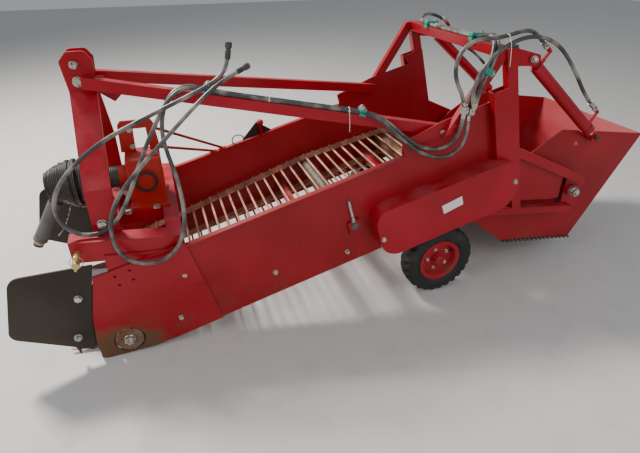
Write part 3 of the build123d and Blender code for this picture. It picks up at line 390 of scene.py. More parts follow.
def rust_group() -> bpy.types.NodeTree:
    """Colour, share of bright worn metal and bump of bare steel that has rusted.

    Returns:
        The group, with the least and the most bright metal as inputs.
    """
    graph, amounts = new_group("rust", ("Least Bright", "Most Bright"))
    fine = graph.noise(130.0, 8.0)
    broad = graph.noise(11.0, 5.0)
    patches = graph.mix(graph.between(broad, 0.35, 0.65), DARK_RUST, BROWN_RUST)
    colour = graph.mix(graph.between(fine, 0.4, 0.75), patches, PALE_RUST)
    worn = graph.between(graph.noise(16.0, 7.0, (1.0, 0.5, 1.0)), 0.34, 0.68)
    bright = graph.between(worn, 0.0, 1.0, amounts.outputs["Least Bright"], amounts.outputs["Most Bright"])
    pits = graph.add("Bump", Strength=0.35, Distance=0.0012, Height=fine)
    return close_group(graph, {"Colour": colour, "Bright": bright, "Normal": pits.outputs[0]})


def new_material(name: str) -> tuple[bpy.types.Material, Graph, bpy.types.Node]:
    """Empty material with a Principled shader.

    Args:
        name: Name of the material.

    Returns:
        The material, its graph and its Principled node.
    """
    material = bpy.data.materials.new(name)
    material.use_nodes = True
    shader = next(node for node in material.node_tree.nodes if node.type == "BSDF_PRINCIPLED")
    return material, Graph(material.node_tree), shader


RED_FRESH = (0.285, 0.0028, 0.0085)
RED_FADED = (0.375, 0.0055, 0.019)
# Pale pink of upward faces: dust, and a painted highlight of the lit top faces.
DUST_AND_SHEEN_COLOUR = (0.50, 0.17, 0.18)
SCRATCH_COLOUR = (0.42, 0.12, 0.11)
BARE_EDGE_COLOUR = (0.20, 0.075, 0.05)
SOIL_COLOUR = (0.125, 0.062, 0.030)
CHROME = (0.80, 0.80, 0.82)
DUST_DULLS = 0.3
SOIL_ROUGHNESS = 0.85
WORN_STRETCH = (0.62, 0.0, 1.0)
WORN_RAGGED = 0.09
WORN_CORE = 0.01


@dataclass(frozen=True)
class PaintFinish:
    """Faded gloss paint with dust, soil and worn edges, and a painted highlight on its upward faces."""

    name: str
    fresh: Colour
    faded: Colour
    roughness: float = 0.34
    dust: float = 0.22
    soil: float = 0.7
    scratched: float = 0.1
    edges: float = 0.75
    worn_at: Point | None = None
    worn_reach: float = 0.0
    specular: float = 0.25
    coat: float = 0.12
    coat_roughness: float = 0.2

    def build(self, weathering: bpy.types.NodeTree) -> bpy.types.Material:
        """Make the material.

        Args:
            weathering: The shared masks.

        Returns:
            The material.
        """
        material, graph, shader = new_material(self.name)
        masks = graph.add("Group", {"node_tree": weathering}, Soil_Amount=self.soil,
                          Scratch_Amount=self.scratched, Wear_Amount=self.edges).outputs
        soil = masks["Soil"]
        if self.worn_at:
            soil = graph.maths("MAXIMUM", soil, self.worn_mask(graph))
        colour = graph.mix(masks["Blotch"], self.fresh, self.faded)
        # Dust and a painted highlight on upward faces, by the finish's amount.
        dust = graph.maths("MULTIPLY", masks["Dust"], self.dust)
        layers = ((dust, DUST_AND_SHEEN_COLOUR), (masks["Scratches"], SCRATCH_COLOUR),
                  (masks["Edge"], BARE_EDGE_COLOUR), (soil, SOIL_COLOUR))
        for mask, layer in layers:
            colour = graph.mix(mask, colour, layer)
        dusty = graph.maths("MULTIPLY_ADD", masks["Dust"], DUST_DULLS, self.roughness)
        roughness = graph.maths("MAXIMUM", dusty, graph.maths("MULTIPLY", soil, SOIL_ROUGHNESS))
        graph.feed(shader.inputs["Base Color"], colour)
        graph.feed(shader.inputs["Roughness"], roughness)
        graph.feed(shader.inputs["Normal"], masks["Normal"])
        shader.inputs["Specular IOR Level"].default_value = self.specular
        shader.inputs["Coat Weight"].default_value = self.coat
        shader.inputs["Coat Roughness"].default_value = self.coat_roughness
        return material

    def worn_mask(self, graph: Graph) -> bpy.types.NodeSocket:
        """Mask of bare metal and soil round one place, with a ragged edge.

        Args:
            graph: The material's graph.

        Returns:
            The mask's socket.
        """
        away = graph.distance(self.worn_at, WORN_STRETCH)
        ragged = graph.maths("MULTIPLY_ADD", graph.noise(22.0, 6.0), WORN_RAGGED, away)
        return graph.between(ragged, self.worn_reach + WORN_RAGGED / 2, self.worn_reach - WORN_CORE)


@dataclass(frozen=True)
class RustFinish:
    """Rusted steel, with the least and the most bright worn metal that shows."""

    name: str
    bright: Colour
    least: float
    most: float
    metallic: float = 0.25
    roughness: float = 0.62

    def build(self, rust: bpy.types.NodeTree) -> bpy.types.Material:
        """Make the material.

        Args:
            rust: The shared rust.

        Returns:
            The material.
        """
        material, graph, shader = new_material(self.name)
        steel = graph.add("Group", {"node_tree": rust}, Least_Bright=self.least,
                          Most_Bright=self.most).outputs
        graph.feed(shader.inputs["Base Color"], graph.mix(steel["Bright"], steel["Colour"], self.bright))
        graph.feed(shader.inputs["Normal"], steel["Normal"])
        shader.inputs["Metallic"].default_value = self.metallic
        shader.inputs["Roughness"].default_value = self.roughness
        return material


@dataclass(frozen=True)
class PlainFinish:
    """One even material with light soiling: two colours mixed by noise, and a fine bump."""

    name: str
    colour: Colour
    soiled: Colour
    metallic: float = 0.0
    roughness: float = 0.5
    grain: float = 60.0
    soiling: tuple[float, float] = (0.5, 0.75)
    bump: float = 0.1

    def build(self) -> bpy.types.Material:
        """Make the material.

        Returns:
            The material.
        """
        material, graph, shader = new_material(self.name)
        spots = graph.noise(self.grain / 4, 6.0)
        colour = graph.mix(graph.between(spots, *self.soiling), self.colour, self.soiled)
        graph.feed(shader.inputs["Base Color"], colour)
        bump = graph.add("Bump", Strength=self.bump, Distance=0.001,
                         Height=graph.noise(self.grain * 4, 3.0))
        graph.feed(shader.inputs["Normal"], bump.outputs[0])
        shader.inputs["Metallic"].default_value = self.metallic
        shader.inputs["Roughness"].default_value = self.roughness
        return material


@dataclass(frozen=True)
class RodFinish:
    """Chromed rod whose eye is painted."""

    name: str = "rod_chrome"
    eye_at: Point = (1.208, 0.0, 0.743)
    eye_reach: float = 0.036
    paint_roughness: float = 0.38
    chrome_roughness: float = 0.12

    def build(self) -> bpy.types.Material:
        """Make the material, with paint within reach of the eye's axis.

        Returns:
            The material.
        """
        material, graph, shader = new_material(self.name)
        away = graph.distance(self.eye_at, (1.0, 0.0, 1.0))
        bare = graph.between(away, self.eye_reach, self.eye_reach + 0.002)
        graph.feed(shader.inputs["Base Color"], graph.mix(bare, RED_FRESH, CHROME))
        graph.feed(shader.inputs["Metallic"], bare)
        polish = self.chrome_roughness - self.paint_roughness
        roughness = graph.maths("MULTIPLY_ADD", bare, polish, self.paint_roughness)
        graph.feed(shader.inputs["Roughness"], roughness)
        return material


@dataclass(frozen=True)
class BellowsFinish:
    """Black plastic with fine ribs across the shaft."""

    name: str = "bellows_plastic"
    pitch: float = 0.0075
    band_length: float = 0.314
    clean: Colour = (0.016, 0.014, 0.013)
    dusty: Colour = (0.062, 0.054, 0.048)
    roughness: float = 0.5

    def build(self) -> bpy.types.Material:
        """Make the material. A band of the wave texture is band_length long at a scale of one.

        Returns:
            The material.
        """
        material, graph, shader = new_material(self.name)
        bands = graph.add("TexWave", {"bands_direction": "X"}, Vector=graph.place(),
                          Scale=self.band_length / self.pitch, Distortion=0.4).outputs[1]
        settled = graph.maths("MULTIPLY", bands, graph.between(graph.noise(12.0, 5.0), 0.35, 0.7))
        graph.feed(shader.inputs["Base Color"], graph.mix(settled, self.clean, self.dusty))
        ribs = graph.add("Bump", Strength=0.6, Distance=0.003, Height=bands)
        graph.feed(shader.inputs["Normal"], ribs.outputs[0])
        shader.inputs["Roughness"].default_value = self.roughness
        return material


PAINTS = (
    PaintFinish("red_paint", RED_FRESH, RED_FADED),
    PaintFinish("red_paint_cheek", RED_FRESH, RED_FADED, worn_at=(-1.21, 0.0, 0.030), worn_reach=0.150),
    PaintFinish("red_paint_worked", (0.25, 0.0032, 0.008), (0.335, 0.008, 0.016), roughness=0.42,
                scratched=0.3, soil=0.85),
    PaintFinish("orange_red_paint", (0.32, 0.009, 0.005), (0.42, 0.022, 0.011), dust=0.2),
    PaintFinish("shield_paint", (0.020, 0.013, 0.009), (0.038, 0.027, 0.019), roughness=0.5, dust=0.12,
                soil=0.35, scratched=0.12),
)
RUSTS = (
    RustFinish("rod_steel", (0.66, 0.345, 0.235), 0.35, 0.95),
    RustFinish("share_steel", (0.30, 0.24, 0.20), 0.0, 0.45, metallic=0.5, roughness=0.5),
)
PLAINS = (
    PlainFinish("zinc", (0.58, 0.56, 0.50), (0.20, 0.16, 0.11), 0.85, 0.34, grain=300.0,
                soiling=(0.45, 0.7)),
    PlainFinish("dull_steel", (0.16, 0.13, 0.11), (0.07, 0.045, 0.03), 0.7, 0.5, grain=300.0),
    PlainFinish("black_plastic", (0.028, 0.027, 0.026), (0.11, 0.10, 0.09), 0.0, 0.55),
    PlainFinish("grey_plastic", (0.125, 0.13, 0.13), (0.09, 0.08, 0.07), 0.0, 0.6),
    PlainFinish("tan_plastic", (0.46, 0.31, 0.17), (0.26, 0.17, 0.10), 0.0, 0.6),
    PlainFinish("tyre_rubber", (0.014, 0.014, 0.014), (0.045, 0.038, 0.030), 0.0, 0.75,
                soiling=(0.5, 0.8), bump=0.3),
    # The hoses' pale blotches stand partly for dust and partly for a painted sun highlight.
    PlainFinish("hose_rubber", (0.045, 0.043, 0.042), (0.27, 0.25, 0.22), 0.0, 0.36, grain=44.0,
                soiling=(0.44, 0.70), bump=0.25),
    PlainFinish("green_plastic", (0.0, 0.235, 0.165), (0.02, 0.30, 0.22), 0.0, 0.4, soiling=(0.4, 0.8)),
    PlainFinish("white_plastic", (0.78, 0.77, 0.73), (0.62, 0.6, 0.54), 0.0, 0.45),
    PlainFinish("label_film", (0.74, 0.72, 0.68), (0.58, 0.5, 0.46), 0.0, 0.4, soiling=(0.55, 0.8),
                bump=0.03),
    PlainFinish("yellow_zinc", (0.55, 0.42, 0.18), (0.25, 0.17, 0.08), 0.8, 0.4),
    PlainFinish("floor", (0.60, 0.585, 0.56), (0.56, 0.545, 0.52), 0.0, 0.85, grain=30.0, bump=0.05),
)

NODE_FINISHES = {
    "side_walls": "red_paint_worked",
    "bucket": "red_paint_worked",
    "cross_members": "red_paint_worked",
    "front_cheeks": "red_paint_cheek",
    "gearbox": "orange_red_paint",
    "gearbox_bracket": "orange_red_paint",
    "shields": "shield_paint",
    # The shield brackets take the near-black finish for the shade beneath the shields: painted shade.
    "shield_brackets": "shield_paint",
    "wall_bracket": "shield_paint",
    "web": "rod_steel",
    "share": "share_steel",
    "front_roller": "share_steel",
    # The carrying roller takes the dark steel so that it reads as in shade under the web: painted shade.
    "carrying_roller": "dull_steel",
    "drive_roller": "share_steel",
    "drive_shaft_guard": "bellows_plastic",
    "pivot_pins": "zinc",
    "cylinder_top_pins": "zinc",
    "link_pins": "yellow_zinc",
    "top_link_pin": "zinc",
    "hose_tees": "zinc",
    "tensioners": "red_paint_worked",
    "cylinder_rod_left": "rod_chrome",
    "cylinder_rod_right": "rod_chrome",
}


def build_materials() -> Materials:
    """Make every material once.

    Returns:
        The materials by name.
    """
    weathering = weathering_group()
    rust = rust_group()
    made = {finish.name: finish.build(weathering) for finish in PAINTS}
    made |= {finish.name: finish.build(rust) for finish in RUSTS}
    made |= {finish.name: finish.build() for finish in (*PLAINS, RodFinish(), BellowsFinish())}
    return made


# Small shapes
@dataclass
class Shape:
    """Points and faces of a closed shape."""

    points: np.ndarray
    faces: list[list[int]]


def circle(radius: float, sides: int) -> np.ndarray:
    """Points round a circle: radius * (cos, sin) at equal steps."""
    angles = np.arange(sides) * 2 * math.pi / sides
    return radius * np.stack([np.cos(angles), np.sin(angles)], axis=1)


def oval(centre: Vector, first: Vector, second: Vector, count: int) -> list[Vector]:
    """Points round an oval: centre + first * cos + second * sin at equal steps."""
    return [centre + first * along + second * across for along, across in circle(1.0, count)]


def grid_faces(rings: int, sides: int, closed: bool = False) -> list[list[int]]:
    """Four-sided faces between rings of points that follow each other.

    Args:
        rings: Number of rings.
        sides: Points on each ring, whose last joins its first.
        closed: Whether the last ring joins the first. If not, a flat closes each end.

    Returns:
        The faces, as numbers of points.
    """
    index = np.arange(rings * sides).reshape(rings, sides)
    here = index if closed else index[:-1]
    there = np.roll(index, -1, axis=0) if closed else index[1:]
    corners = [here, np.roll(here, -1, axis=1), np.roll(there, -1, axis=1), there]
    faces = np.stack(corners, axis=2).reshape(-1, 4).tolist()
    return faces if closed else [*faces, index[0, ::-1].tolist(), index[-1].tolist()]


def lathe(profile: Sequence[tuple[float, float]], sides: int, closed: bool = False) -> Shape:
    """Shape turned about z: each ring is radius * (cos, sin) at its height.

    Args:
        profile: Radius and height of each ring, from the bottom to the top.
        sides: Number of flats round the axis.
        closed: Whether the last ring joins the first, as in a hoop.

    Returns:
        The shape.
    """
    rings = [np.column_stack([circle(radius, sides), np.full(sides, height)]) for radius, height in profile]
    return Shape(np.concatenate(rings), grid_faces(len(profile), sides, closed))


def block(size: Point) -> Shape:
    """Box centred on the origin.

    Args:
        size: Its length along x, y and z.

    Returns:
        The shape.
    """
    signs = np.stack(np.meshgrid([-1, 1], [-1, 1], [-1, 1], indexing="ij"), axis=-1).reshape(-1, 3)
    faces = [[0, 1, 3, 2], [4, 6, 7, 5], [0, 4, 5, 1], [2, 3, 7, 6], [0, 2, 6, 4], [1, 5, 7, 3]]
    return Shape(signs * np.array(size) / 2, faces)


def tube(path: Sequence[Vector], radius: float, sides: int = 8, closed: bool = False) -> Shape:
    """Round bar bent along a path: each ring is the point + radius * (across * cos + third * sin).

    Args:
        path: Points on its centre line.
        radius: Radius of the bar.
        sides: Number of flats round it.
        closed: Whether the last point joins the first.

    Returns:
        The shape.
    """
    count = len(path)
    outline = circle(radius, sides)
    rings = []
    across = None
    for index, point in enumerate(path):
        before = path[index - 1] if closed or index else point
        after = path[(index + 1) % count] if closed or index < count - 1 else point
        along = (after - before).normalized()
        across = along.orthogonal() if across is None else across - along * across.dot(along)
        across.normalize()
        rings.append(outline @ np.array([across, along.cross(across)]) + np.array(point))
    return Shape(np.concatenate(rings), grid_faces(count, sides, closed))


def stand_on(place: Vector, axis: Vector, turn: float = 0.0) -> Matrix:
    """Matrix that puts the origin at a place with z along an axis."""
    upright = axis.to_track_quat("Z", "Y").to_matrix().to_4x4()
    return Matrix.Translation(place) @ upright @ Matrix.Rotation(turn, 4, "Z")


def new_piece(name: str, shape: Shape, material: bpy.types.Material, smooth: bool) -> bpy.types.Object:
    """Mesh object of a shape, at the origin.

    Args:
        name: Name of the piece.
        shape: Its points, in the frame's axes, and its faces.
        material: Its finish.
        smooth: Whether its faces are shaded smooth.

    Returns:
        The object, in the scene.
    """
    mesh = bpy.data.meshes.new(name)
    mesh.from_pydata(shape.points.tolist(), [], shape.faces)
    mesh.update()
    mesh.polygons.foreach_set("use_smooth", [smooth] * len(mesh.polygons))
    mesh.materials.append(material)
    piece = bpy.data.objects.new(name, mesh)
    bpy.context.scene.collection.objects.link(piece)
    log.info("%s: %d faces", name, len(shape.faces))
    return piece


@dataclass
class Batch:
    """Many small shapes that become one mesh piece on one body."""

    name: str
    material: bpy.types.Material
    body: str = "frame"
    slot: str = "zinc_steel"
    shapes: list[Shape] = field(default_factory=list)

    def put(self, shape: Shape, matrix: Matrix | None = None) -> None:
        """Add a shape.

        Args:
            shape: The shape.
            matrix: Where it goes, if not as it is.
        """
        points = shape.points
        if matrix is not None:
            points = points @ np.array(matrix.to_3x3()).T + np.array(matrix.translation)
        self.shapes.append(Shape(points, shape.faces))

    def build(self, smooth: bool = False, rounded: float = 0.0) -> bpy.types.Object:
        """Make the piece and let it ride on its body.

        Args:
            smooth: Whether the faces are shaded smooth.
            rounded: Width of the bevel on its edges, if it has one.

        Returns:
            The piece.
        """
        faces = []
        start = 0
        for shape in self.shapes:
            faces += [[index + start for index in face] for face in shape.faces]
            start += len(shape.points)
        points = np.concatenate([shape.points for shape in self.shapes])
        piece = new_piece(self.name, Shape(points, faces), self.material, smooth)
        if rounded:
            bevel = piece.modifiers.new("rounded", "BEVEL")
            bevel.width = rounded
            bevel.segments = 2
            bevel.limit_method = "ANGLE"
        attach(piece, self.body)
        return piece


@dataclass(frozen=True)
class Part:
    """Sub-assembly that makes its own pieces."""

    materials: Materials

    def build(self) -> None:
        """Make the pieces."""
        raise NotImplementedError

    def batch(self, name: str, finish: str, body: str = "frame", slot: str = "zinc_steel") -> Batch:
        """Empty batch with one of the finishes."""
        return Batch(name, self.materials[finish], body, slot)


class NodePaint(Part):
    """Finish of every CAD node."""

    def build(self) -> None:
        """Put the node's own finish, or the common red, in each of its slots."""
        for name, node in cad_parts.items():
            finish = self.materials[NODE_FINISHES.get(name, "red_paint")]
            if not node.data.materials:
                node.data.materials.append(None)
            for index in range(len(node.data.materials)):
                node.data.materials[index] = finish


# Fasteners
HEAD_TURN = 0.2
WASHER = ((1.05, 0.0), (1.05, 0.13), (0.98, 0.2))
HEAD = ((0.86, 0.2), (0.92, 0.28), (0.92, 0.76), (0.8, 0.86))
SHANK_FROM = 0.8
TIP_RADIUS = 0.42
TIP_LENGTH = 0.06


@dataclass(frozen=True)
class Fastener:
    """Hexagon bolt or nut on a washer, whose profiles are in shares of its thread."""

    thread: float
    shank: float = 0.0

    def put(self, batch: Batch, place: Vector, axis: Vector) -> None:
        """Add the fastener to a batch.

        Args:
            batch: The batch.
            place: Where its washer sits.
            axis: The way its head points.
        """
        seat = stand_on(place, axis, HEAD_TURN)
        for profile, sides in ((WASHER, 20), (HEAD, 6)):
            scaled = [(radius * self.thread, height * self.thread) for radius, height in profile]
            batch.put(lathe(scaled, sides), seat)
        if self.shank:
            foot = SHANK_FROM * self.thread
            end = foot + self.shank
            tip = (TIP_RADIUS * self.thread, end + TIP_LENGTH * self.thread)
            batch.put(lathe([(self.thread / 2, foot), (self.thread / 2, end), tip], 12), seat)


M8 = Fastener(0.008)
M10 = Fastener(0.010)
M12 = Fastener(0.012)
M12_NUT = Fastener(0.012, 0.005)
M16 = Fastener(0.016)
M16_NUT = Fastener(0.016, 0.007)
M20 = Fastener(0.020)
M24_NUT = Fastener(0.024, 0.008)


@dataclass(frozen=True)
class BoltRow:
    """Fasteners that point outwards from one face.

    The places are x and z in millimetres. The face's distance from the machine's middle is in metres.
    """

    size: Fastener
    face: float
    places: tuple[tuple[float, float], ...]
    sides: tuple[Side, ...] = tuple(Side)

    def put(self, batch: Batch) -> None:
        """Add the row on each of its sides.

        Args:
            batch: Batch for the fasteners.
        """
        for side in self.sides:
            for x, z in self.places:
                self.size.put(batch, side.at(x / 1000, z / 1000, self.face), side.outwards)


BOLT_ROWS = {
    "shields": BoltRow(M16, CHEEK_FACE, ((-1310, 347), (-1355, 150))),
    "walls": BoltRow(M12_NUT, WALL_FACE, ((-484, 283), (-129, 322), (-883, 362))),
    "cheeks": BoltRow(M12_NUT, CHEEK_FACE, ((-928, 143),)),
    "brace pads": BoltRow(M12, WALL_FACE, ((157, 831), (313, 864))),
    "top link pin": BoltRow(M16, 0.054, ((-1161, 1187),)),
    "braces": BoltRow(M20, 0.050, ((-1159.5, 1121),)),
    "feet of the mast": BoltRow(M20, 0.334, ((-1162, 625),)),
    "bearing housing": BoltRow(M10, 0.060, ((-1112, 646), (-1075, 620)), (Side.LEFT,)),
    "arch over the gearbox": BoltRow(M12, -0.030, ((-1013, 880), (-1011, 801)), (Side.LEFT,)),
    "chain guard": BoltRow(M12, GUARD_FACE, ((14.5, 413), (695, 605)), (Side.LEFT,)),
    "front roller": BoltRow(M24_NUT, 0.414, ((-1160, 79),)),
    "cylinder pins": BoltRow(M16_NUT, 0.450, ((697, 1163),)),
    "bucket pivots": BoltRow(M24_NUT, 0.446, ((1150, 453),)),
}
GEARBOX_BASE_BOLTS = ((-953, -124), (-1074, -140), (-953, 124), (-1074, 140))
GEARBOX_BASE_TOP = 560.0


@dataclass(frozen=True)
class Fasteners(Part):
    """Bolts and nuts that hold the machine together, in one piece for each body."""

    screw_along: float = 1.125
    screw_above: float = 0.122
    screw_out: float = 0.008
    screw_radius: float = 0.0064
    screw_length: float = 0.115
    thread_depth: float = 0.0006
    thread_pitch: float = 0.003
    rod_nut_at: tuple[float, float] = (1.208, 0.743)
    rod_nut_out: float = 0.441

    def screw(self) -> Shape:
        """Threaded bar, as ridges one pitch apart.

        Returns:
            The shape.
        """
        ridges = int(self.screw_length / self.thread_pitch)
        profile = [(self.screw_radius + self.thread_depth * (index % 2), index * self.thread_pitch / 2)
                   for index in range(2 * ridges)]
        return lathe(profile, 12)

    def build(self) -> None:
        """Make the frame's fasteners and those of the cylinder rods."""
        batch = self.batch("fasteners_frame", "zinc")
        for row in BOLT_ROWS.values():
            row.put(batch)
        for x, y in GEARBOX_BASE_BOLTS:
            M16.put(batch, mm(x, y, GEARBOX_BASE_TOP), UP)
        square_to_slope = Vector((-math.sin(SLOPE), 0.0, math.cos(SLOPE)))
        for side in Side:
            foot = on_slope(self.screw_along, self.screw_above, side.value * (WALL_FACE + self.screw_out))
            batch.put(self.screw(), stand_on(foot, square_to_slope))
            M12.put(batch, foot, square_to_slope)
        batch.build()
        for side in Side:
            batch = self.batch(f"fasteners_rod_{side.word}", "dull_steel", f"rod_{side.word}")
            M12_NUT.put(batch, side.at(*self.rod_nut_at, self.rod_nut_out), side.outwards)
            batch.build()


# Wheels
@dataclass(frozen=True)
class Tyre:
    """Tyre with two rows of slanted lugs and a rib along its middle, inside the CAD tyre's outline."""

    radius: float = 0.188
    bead: float = 0.106
    tread_half: float = 0.045
    tread_steps: int = 25
    lug_height: float = 0.010
    lug_share: float = 0.30
    lug_flank: float = 0.05
    lugs: int = 26
    rib_half: float = 0.010
    rib_flank: float = 0.002
    steps_round: int = 312
    crown: float = 0.004
    shoulder: float = 0.006
    shoulder_from: float = 0.8
    wall: tuple[Point, ...] = (
        (0.0, -0.0355, 0), (0.008, -0.0365, 0), (0.013, -0.042, 0), (0.018, -0.047, 0), (0.030, -0.0495, 0),
        (0.032, -0.0502, 0), (0.034, -0.0495, 0), (0.048, -0.0488, 0), (0.060, -0.0465, 0.3),
    )

    def profile(self) -> np.ndarray:
        """Cross-section of the tyre.

        The wall gives height above the bead, distance across and share of tread. With s the share across,
        the tread falls by crown * s^2, and past the shoulder's start by up to shoulder more.

        Returns:
            Radius, distance across and share of tread of each point.
        """
        wall = np.array(self.wall) + (self.bead, 0, 0)
        share = np.linspace(-1, 1, self.tread_steps)
        past = np.clip((np.abs(share) - self.shoulder_from) / (1 - self.shoulder_from), 0, None)
        drop = self.crown * share**2 + self.shoulder * past
        tread = np.stack([self.radius - drop, share * self.tread_half, np.ones_like(share)], axis=1)
        return np.concatenate([wall, tread, wall[::-1] * (1, -1, 1)])

    def build(self, side: Side, rubber: bpy.types.Material) -> None:
        """Make the tyre in place of the CAD node.

        A lug stands where the angle's phase, slanted by the distance across, is near a half. The lugs of
        one row stand half a pitch on from the other's.

        Args:
            side: Which tyre.
            rubber: Its material.
        """
        low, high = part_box(f"tyre_{side.word}")
        centre = (low + high) / 2
        radius, across, share = self.profile().T[:, None, :]
        angle = np.arange(self.steps_round)[:, None] * 2 * math.pi / self.steps_round
        slant = np.abs(across) / self.tread_half * 0.5 + (across > 0) * 0.5
        phase = (angle * self.lugs / (2 * math.pi) + slant) % 1.0
        lug = np.clip((self.lug_share - np.abs(phase - 0.5)) / self.lug_flank, 0, 1)
        rib = np.clip((self.rib_half - np.abs(across)) / self.rib_flank, 0, 1)
        reach = radius - share * (1 - np.maximum(lug, rib)) * self.lug_height
        x = centre.x + reach * np.cos(angle)
        z = centre.z + reach * np.sin(angle)
        y = centre.y + np.broadcast_to(across, x.shape)
        points = np.stack([x, y, z], axis=2).reshape(-1, 3)
        shape = Shape(points, grid_faces(*x.shape, closed=True))
        piece = new_piece(f"tyre_tread_{side.word}", shape, rubber, smooth=True)
        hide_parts(f"tyre_{side.word}")
        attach(piece, f"wheel_{side.word}")


@dataclass(frozen=True)
class Wheels(Part):
    """Both depth wheels: tyres, wheel nuts, hub caps and valves."""

    middle: float = 0.415
    disc_face: float = 0.0125
    hub_face: float = 0.030
    nuts: int = 5
    nut_ring: float = 0.058
    valve_at: tuple[float, float] = (0.074, 0.030)
    valve_lean: Point = (0.3, 0.0, 0.1)

    def nuts_of(self, disc: Vector, side: Side) -> None:
        """Ring of wheel nuts.

        Args:
            disc: Middle of the disc's outer face.
            side: Which wheel.
        """
        batch = self.batch(f"wheel_nuts_{side.word}", "zinc", f"wheel_{side.word}")
        for turn in (np.arange(self.nuts) + 0.5) * 2 * math.pi / self.nuts:
            spoke = Vector((math.cos(turn), 0, math.sin(turn)))
            M10.put(batch, disc + spoke * self.nut_ring, side.outwards)
        batch.build()

    def cap_of(self, hub: Vector, side: Side) -> None:
        """Hub cap.

        Args:
            hub: Middle of the hub's outer end.
            side: Which wheel.
        """
        batch = self.batch(f"hub_cap_{side.word}", "red_paint_worked", f"wheel_{side.word}", "red_paint")
        rings = [(0.026, -0.001), (0.026, 0.010), (0.022, 0.014), (0.012, 0.016)]
        batch.put(lathe(rings, 24), stand_on(hub, side.outwards))
        batch.build()

    def valve_of(self, disc: Vector, side: Side) -> None:
        """Leaning valve.

        Args:
            disc: Middle of the disc's outer face.
            side: Which wheel.
        """
        batch = self.batch(f"valve_{side.word}", "black_plastic", f"wheel_{side.word}", "tyre")
        foot = disc + Vector((self.valve_at[0], 0, self.valve_at[1]))
        rings = [(0.005, -0.004), (0.0045, 0.014), (0.004, 0.028)]
        batch.put(lathe(rings, 10), stand_on(foot, side.outwards + Vector(self.valve_lean)))
        batch.build(smooth=True)

    def build(self) -> None:
        """Make the pieces of both wheels."""
        for side in Side:
            Tyre().build(side, self.materials["tyre_rubber"])
            low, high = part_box(f"rim_{side.word}")
            x, _, z = (low + high) / 2
            disc = side.at(x, z, self.middle + self.disc_face)
            self.nuts_of(disc, side)
            self.cap_of(side.at(x, z, self.middle + self.hub_face), side)
            self.valve_of(disc, side)


# Hoses
HOSE_RADIUS = 0.0085
FEED_HOSE_A = (
    (376, -457, 936), (372, -457, 888), (351, -456, 840), (308, -452, 809), (252, -445, 803),
    (188, -437, 822), (124, -426, 864), (72, -396, 914), (16, -350, 956.5), (-65, -290.9, 968.7),
    (-256, -247.6, 1001.8), (-462, -205, 1037.3), (-609, -171.7, 1062.7), (-688, -160, 1084),
    (-748, -160, 1101), (-800, -175, 1090), (-840, -199, 1056), (-868, -232, 1000), (-878, -268, 935),
    (-868, -306, 868), (-850, -348, 795), (-843, -392, 715), (-846, -424, 640), (-864, -438, 568),
    (-902, -440, 506), (-958, -440, 471), (-1020, -440, 468), (-1076, -440, 492), (-1112, -440, 540),
    (-1126, -436, 600), (-1122, -424, 672), (-1090, -396, 742), (-1032, -372, 806), (-940, -338, 883),
    (-850, -306, 955), (-760, -272, 1026), (-672, -238, 1089), (-595, -202, 1127), (-521, -168, 1151),
)
FEED_HOSE_B = (
    (404, -457, 925), (408, -457, 872), (397, -458, 822), (364, -457, 782), (312, -453, 762),
    (248, -449, 772), (176, -446, 804), (111, -438, 856), (59, -410, 906), (7, -366, 957),
    (-69, -309.4, 968.7), (-261, -270, 1001.8), (-466, -223.6, 1037.3), (-614, -193.2, 1062.7),
    (-690, -182, 1084), (-752, -193, 1103), (-810, -214, 1084), (-858, -238, 1038), (-898, -256, 980),
    (-938, -272, 918), (-980, -292, 845), (-1025, -320, 758), (-1076, -342, 672), (-1130, -360, 616),
    (-1190, -370, 600), (-1250, -368, 612), (-1295, -360, 652), (-1312, -352, 708), (-1302, -344, 770),
    (-1260, -332, 834), (-1186, -314, 898), (-1090, -298, 956), (-980, -288, 1002), (-870, -276, 1043),
    (-770, -262, 1079), (-690, -250, 1108), (-628, -234, 1137), (-590, -220, 1179), (-580, -214, 1232),
)
HOSE_LEFT_TOP = (
    (366, -457, 1010), (352, -458, 1044), (327, -461, 1080), (306, -464, 1118), (297, -466, 1160),
    (304, -467, 1203), (329, -467, 1238), (367, -466, 1258), (412, -464, 1263), (460, -462, 1263),
    (508, -460, 1267), (556, -459, 1275), (605, -454, 1284), (656, -443, 1281), (708, -430, 1258),
    (750, -420, 1228), (782, -415, 1204.4),
)
HOSE_LEFT_LOW = (
    (408, -467, 1003), (395, -474, 1052), (399, -479, 1104), (420, -482, 1150), (452, -482, 1190),
    (498, -480, 1222), (552, -478, 1248), (618, -474, 1262), (690, -467, 1259), (763, -457, 1238),
    (832, -446, 1203), (902, -437, 1147), (979, -428, 1070), (1056, -419, 985), (1108, -415, 936.5),
    (1134.8, -415, 914.5),
)
HOSE_RIGHT_TOP = (
    (388, -450, 1000), (410, -449, 1052), (438, -450, 1106), (466, -451, 1158), (490, -438, 1205),
    (510, -406, 1240), (526, -361, 1255), (540, -311, 1251), (551, -261, 1238), (558, -210, 1228),
    (561, -150, 1223.6), (562, -20, 1223.6), (561, 120, 1223.6), (562, 236, 1223.6), (567, 300, 1226),
    (585, 352, 1235), (618, 391, 1246), (661, 411, 1251), (705, 417, 1243), (746, 417, 1228),
    (782, 415, 1204.4),
)
HOSE_RIGHT_LOW = (
    (432, -456, 1000), (442, -453, 1050), (462, -451, 1106), (486, -452, 1158), (510, -438, 1205),
    (530, -406, 1240), (546, -361, 1255), (560, -311, 1251), (570, -261, 1238), (577, -210, 1228),
    (580, -150, 1223.6), (581, -20, 1223.6), (580, 110, 1223.6), (585, 200, 1224), (604, 252, 1225),
    (634, 298, 1211), (668, 334, 1184), (708, 360, 1155), (758, 372, 1129), (816, 376, 1105),
    (880, 380, 1080), (946, 388, 1051), (1008, 398, 1015), (1064, 408, 973), (1106, 414, 938),
    (1134.8, 415, 914.5),
)


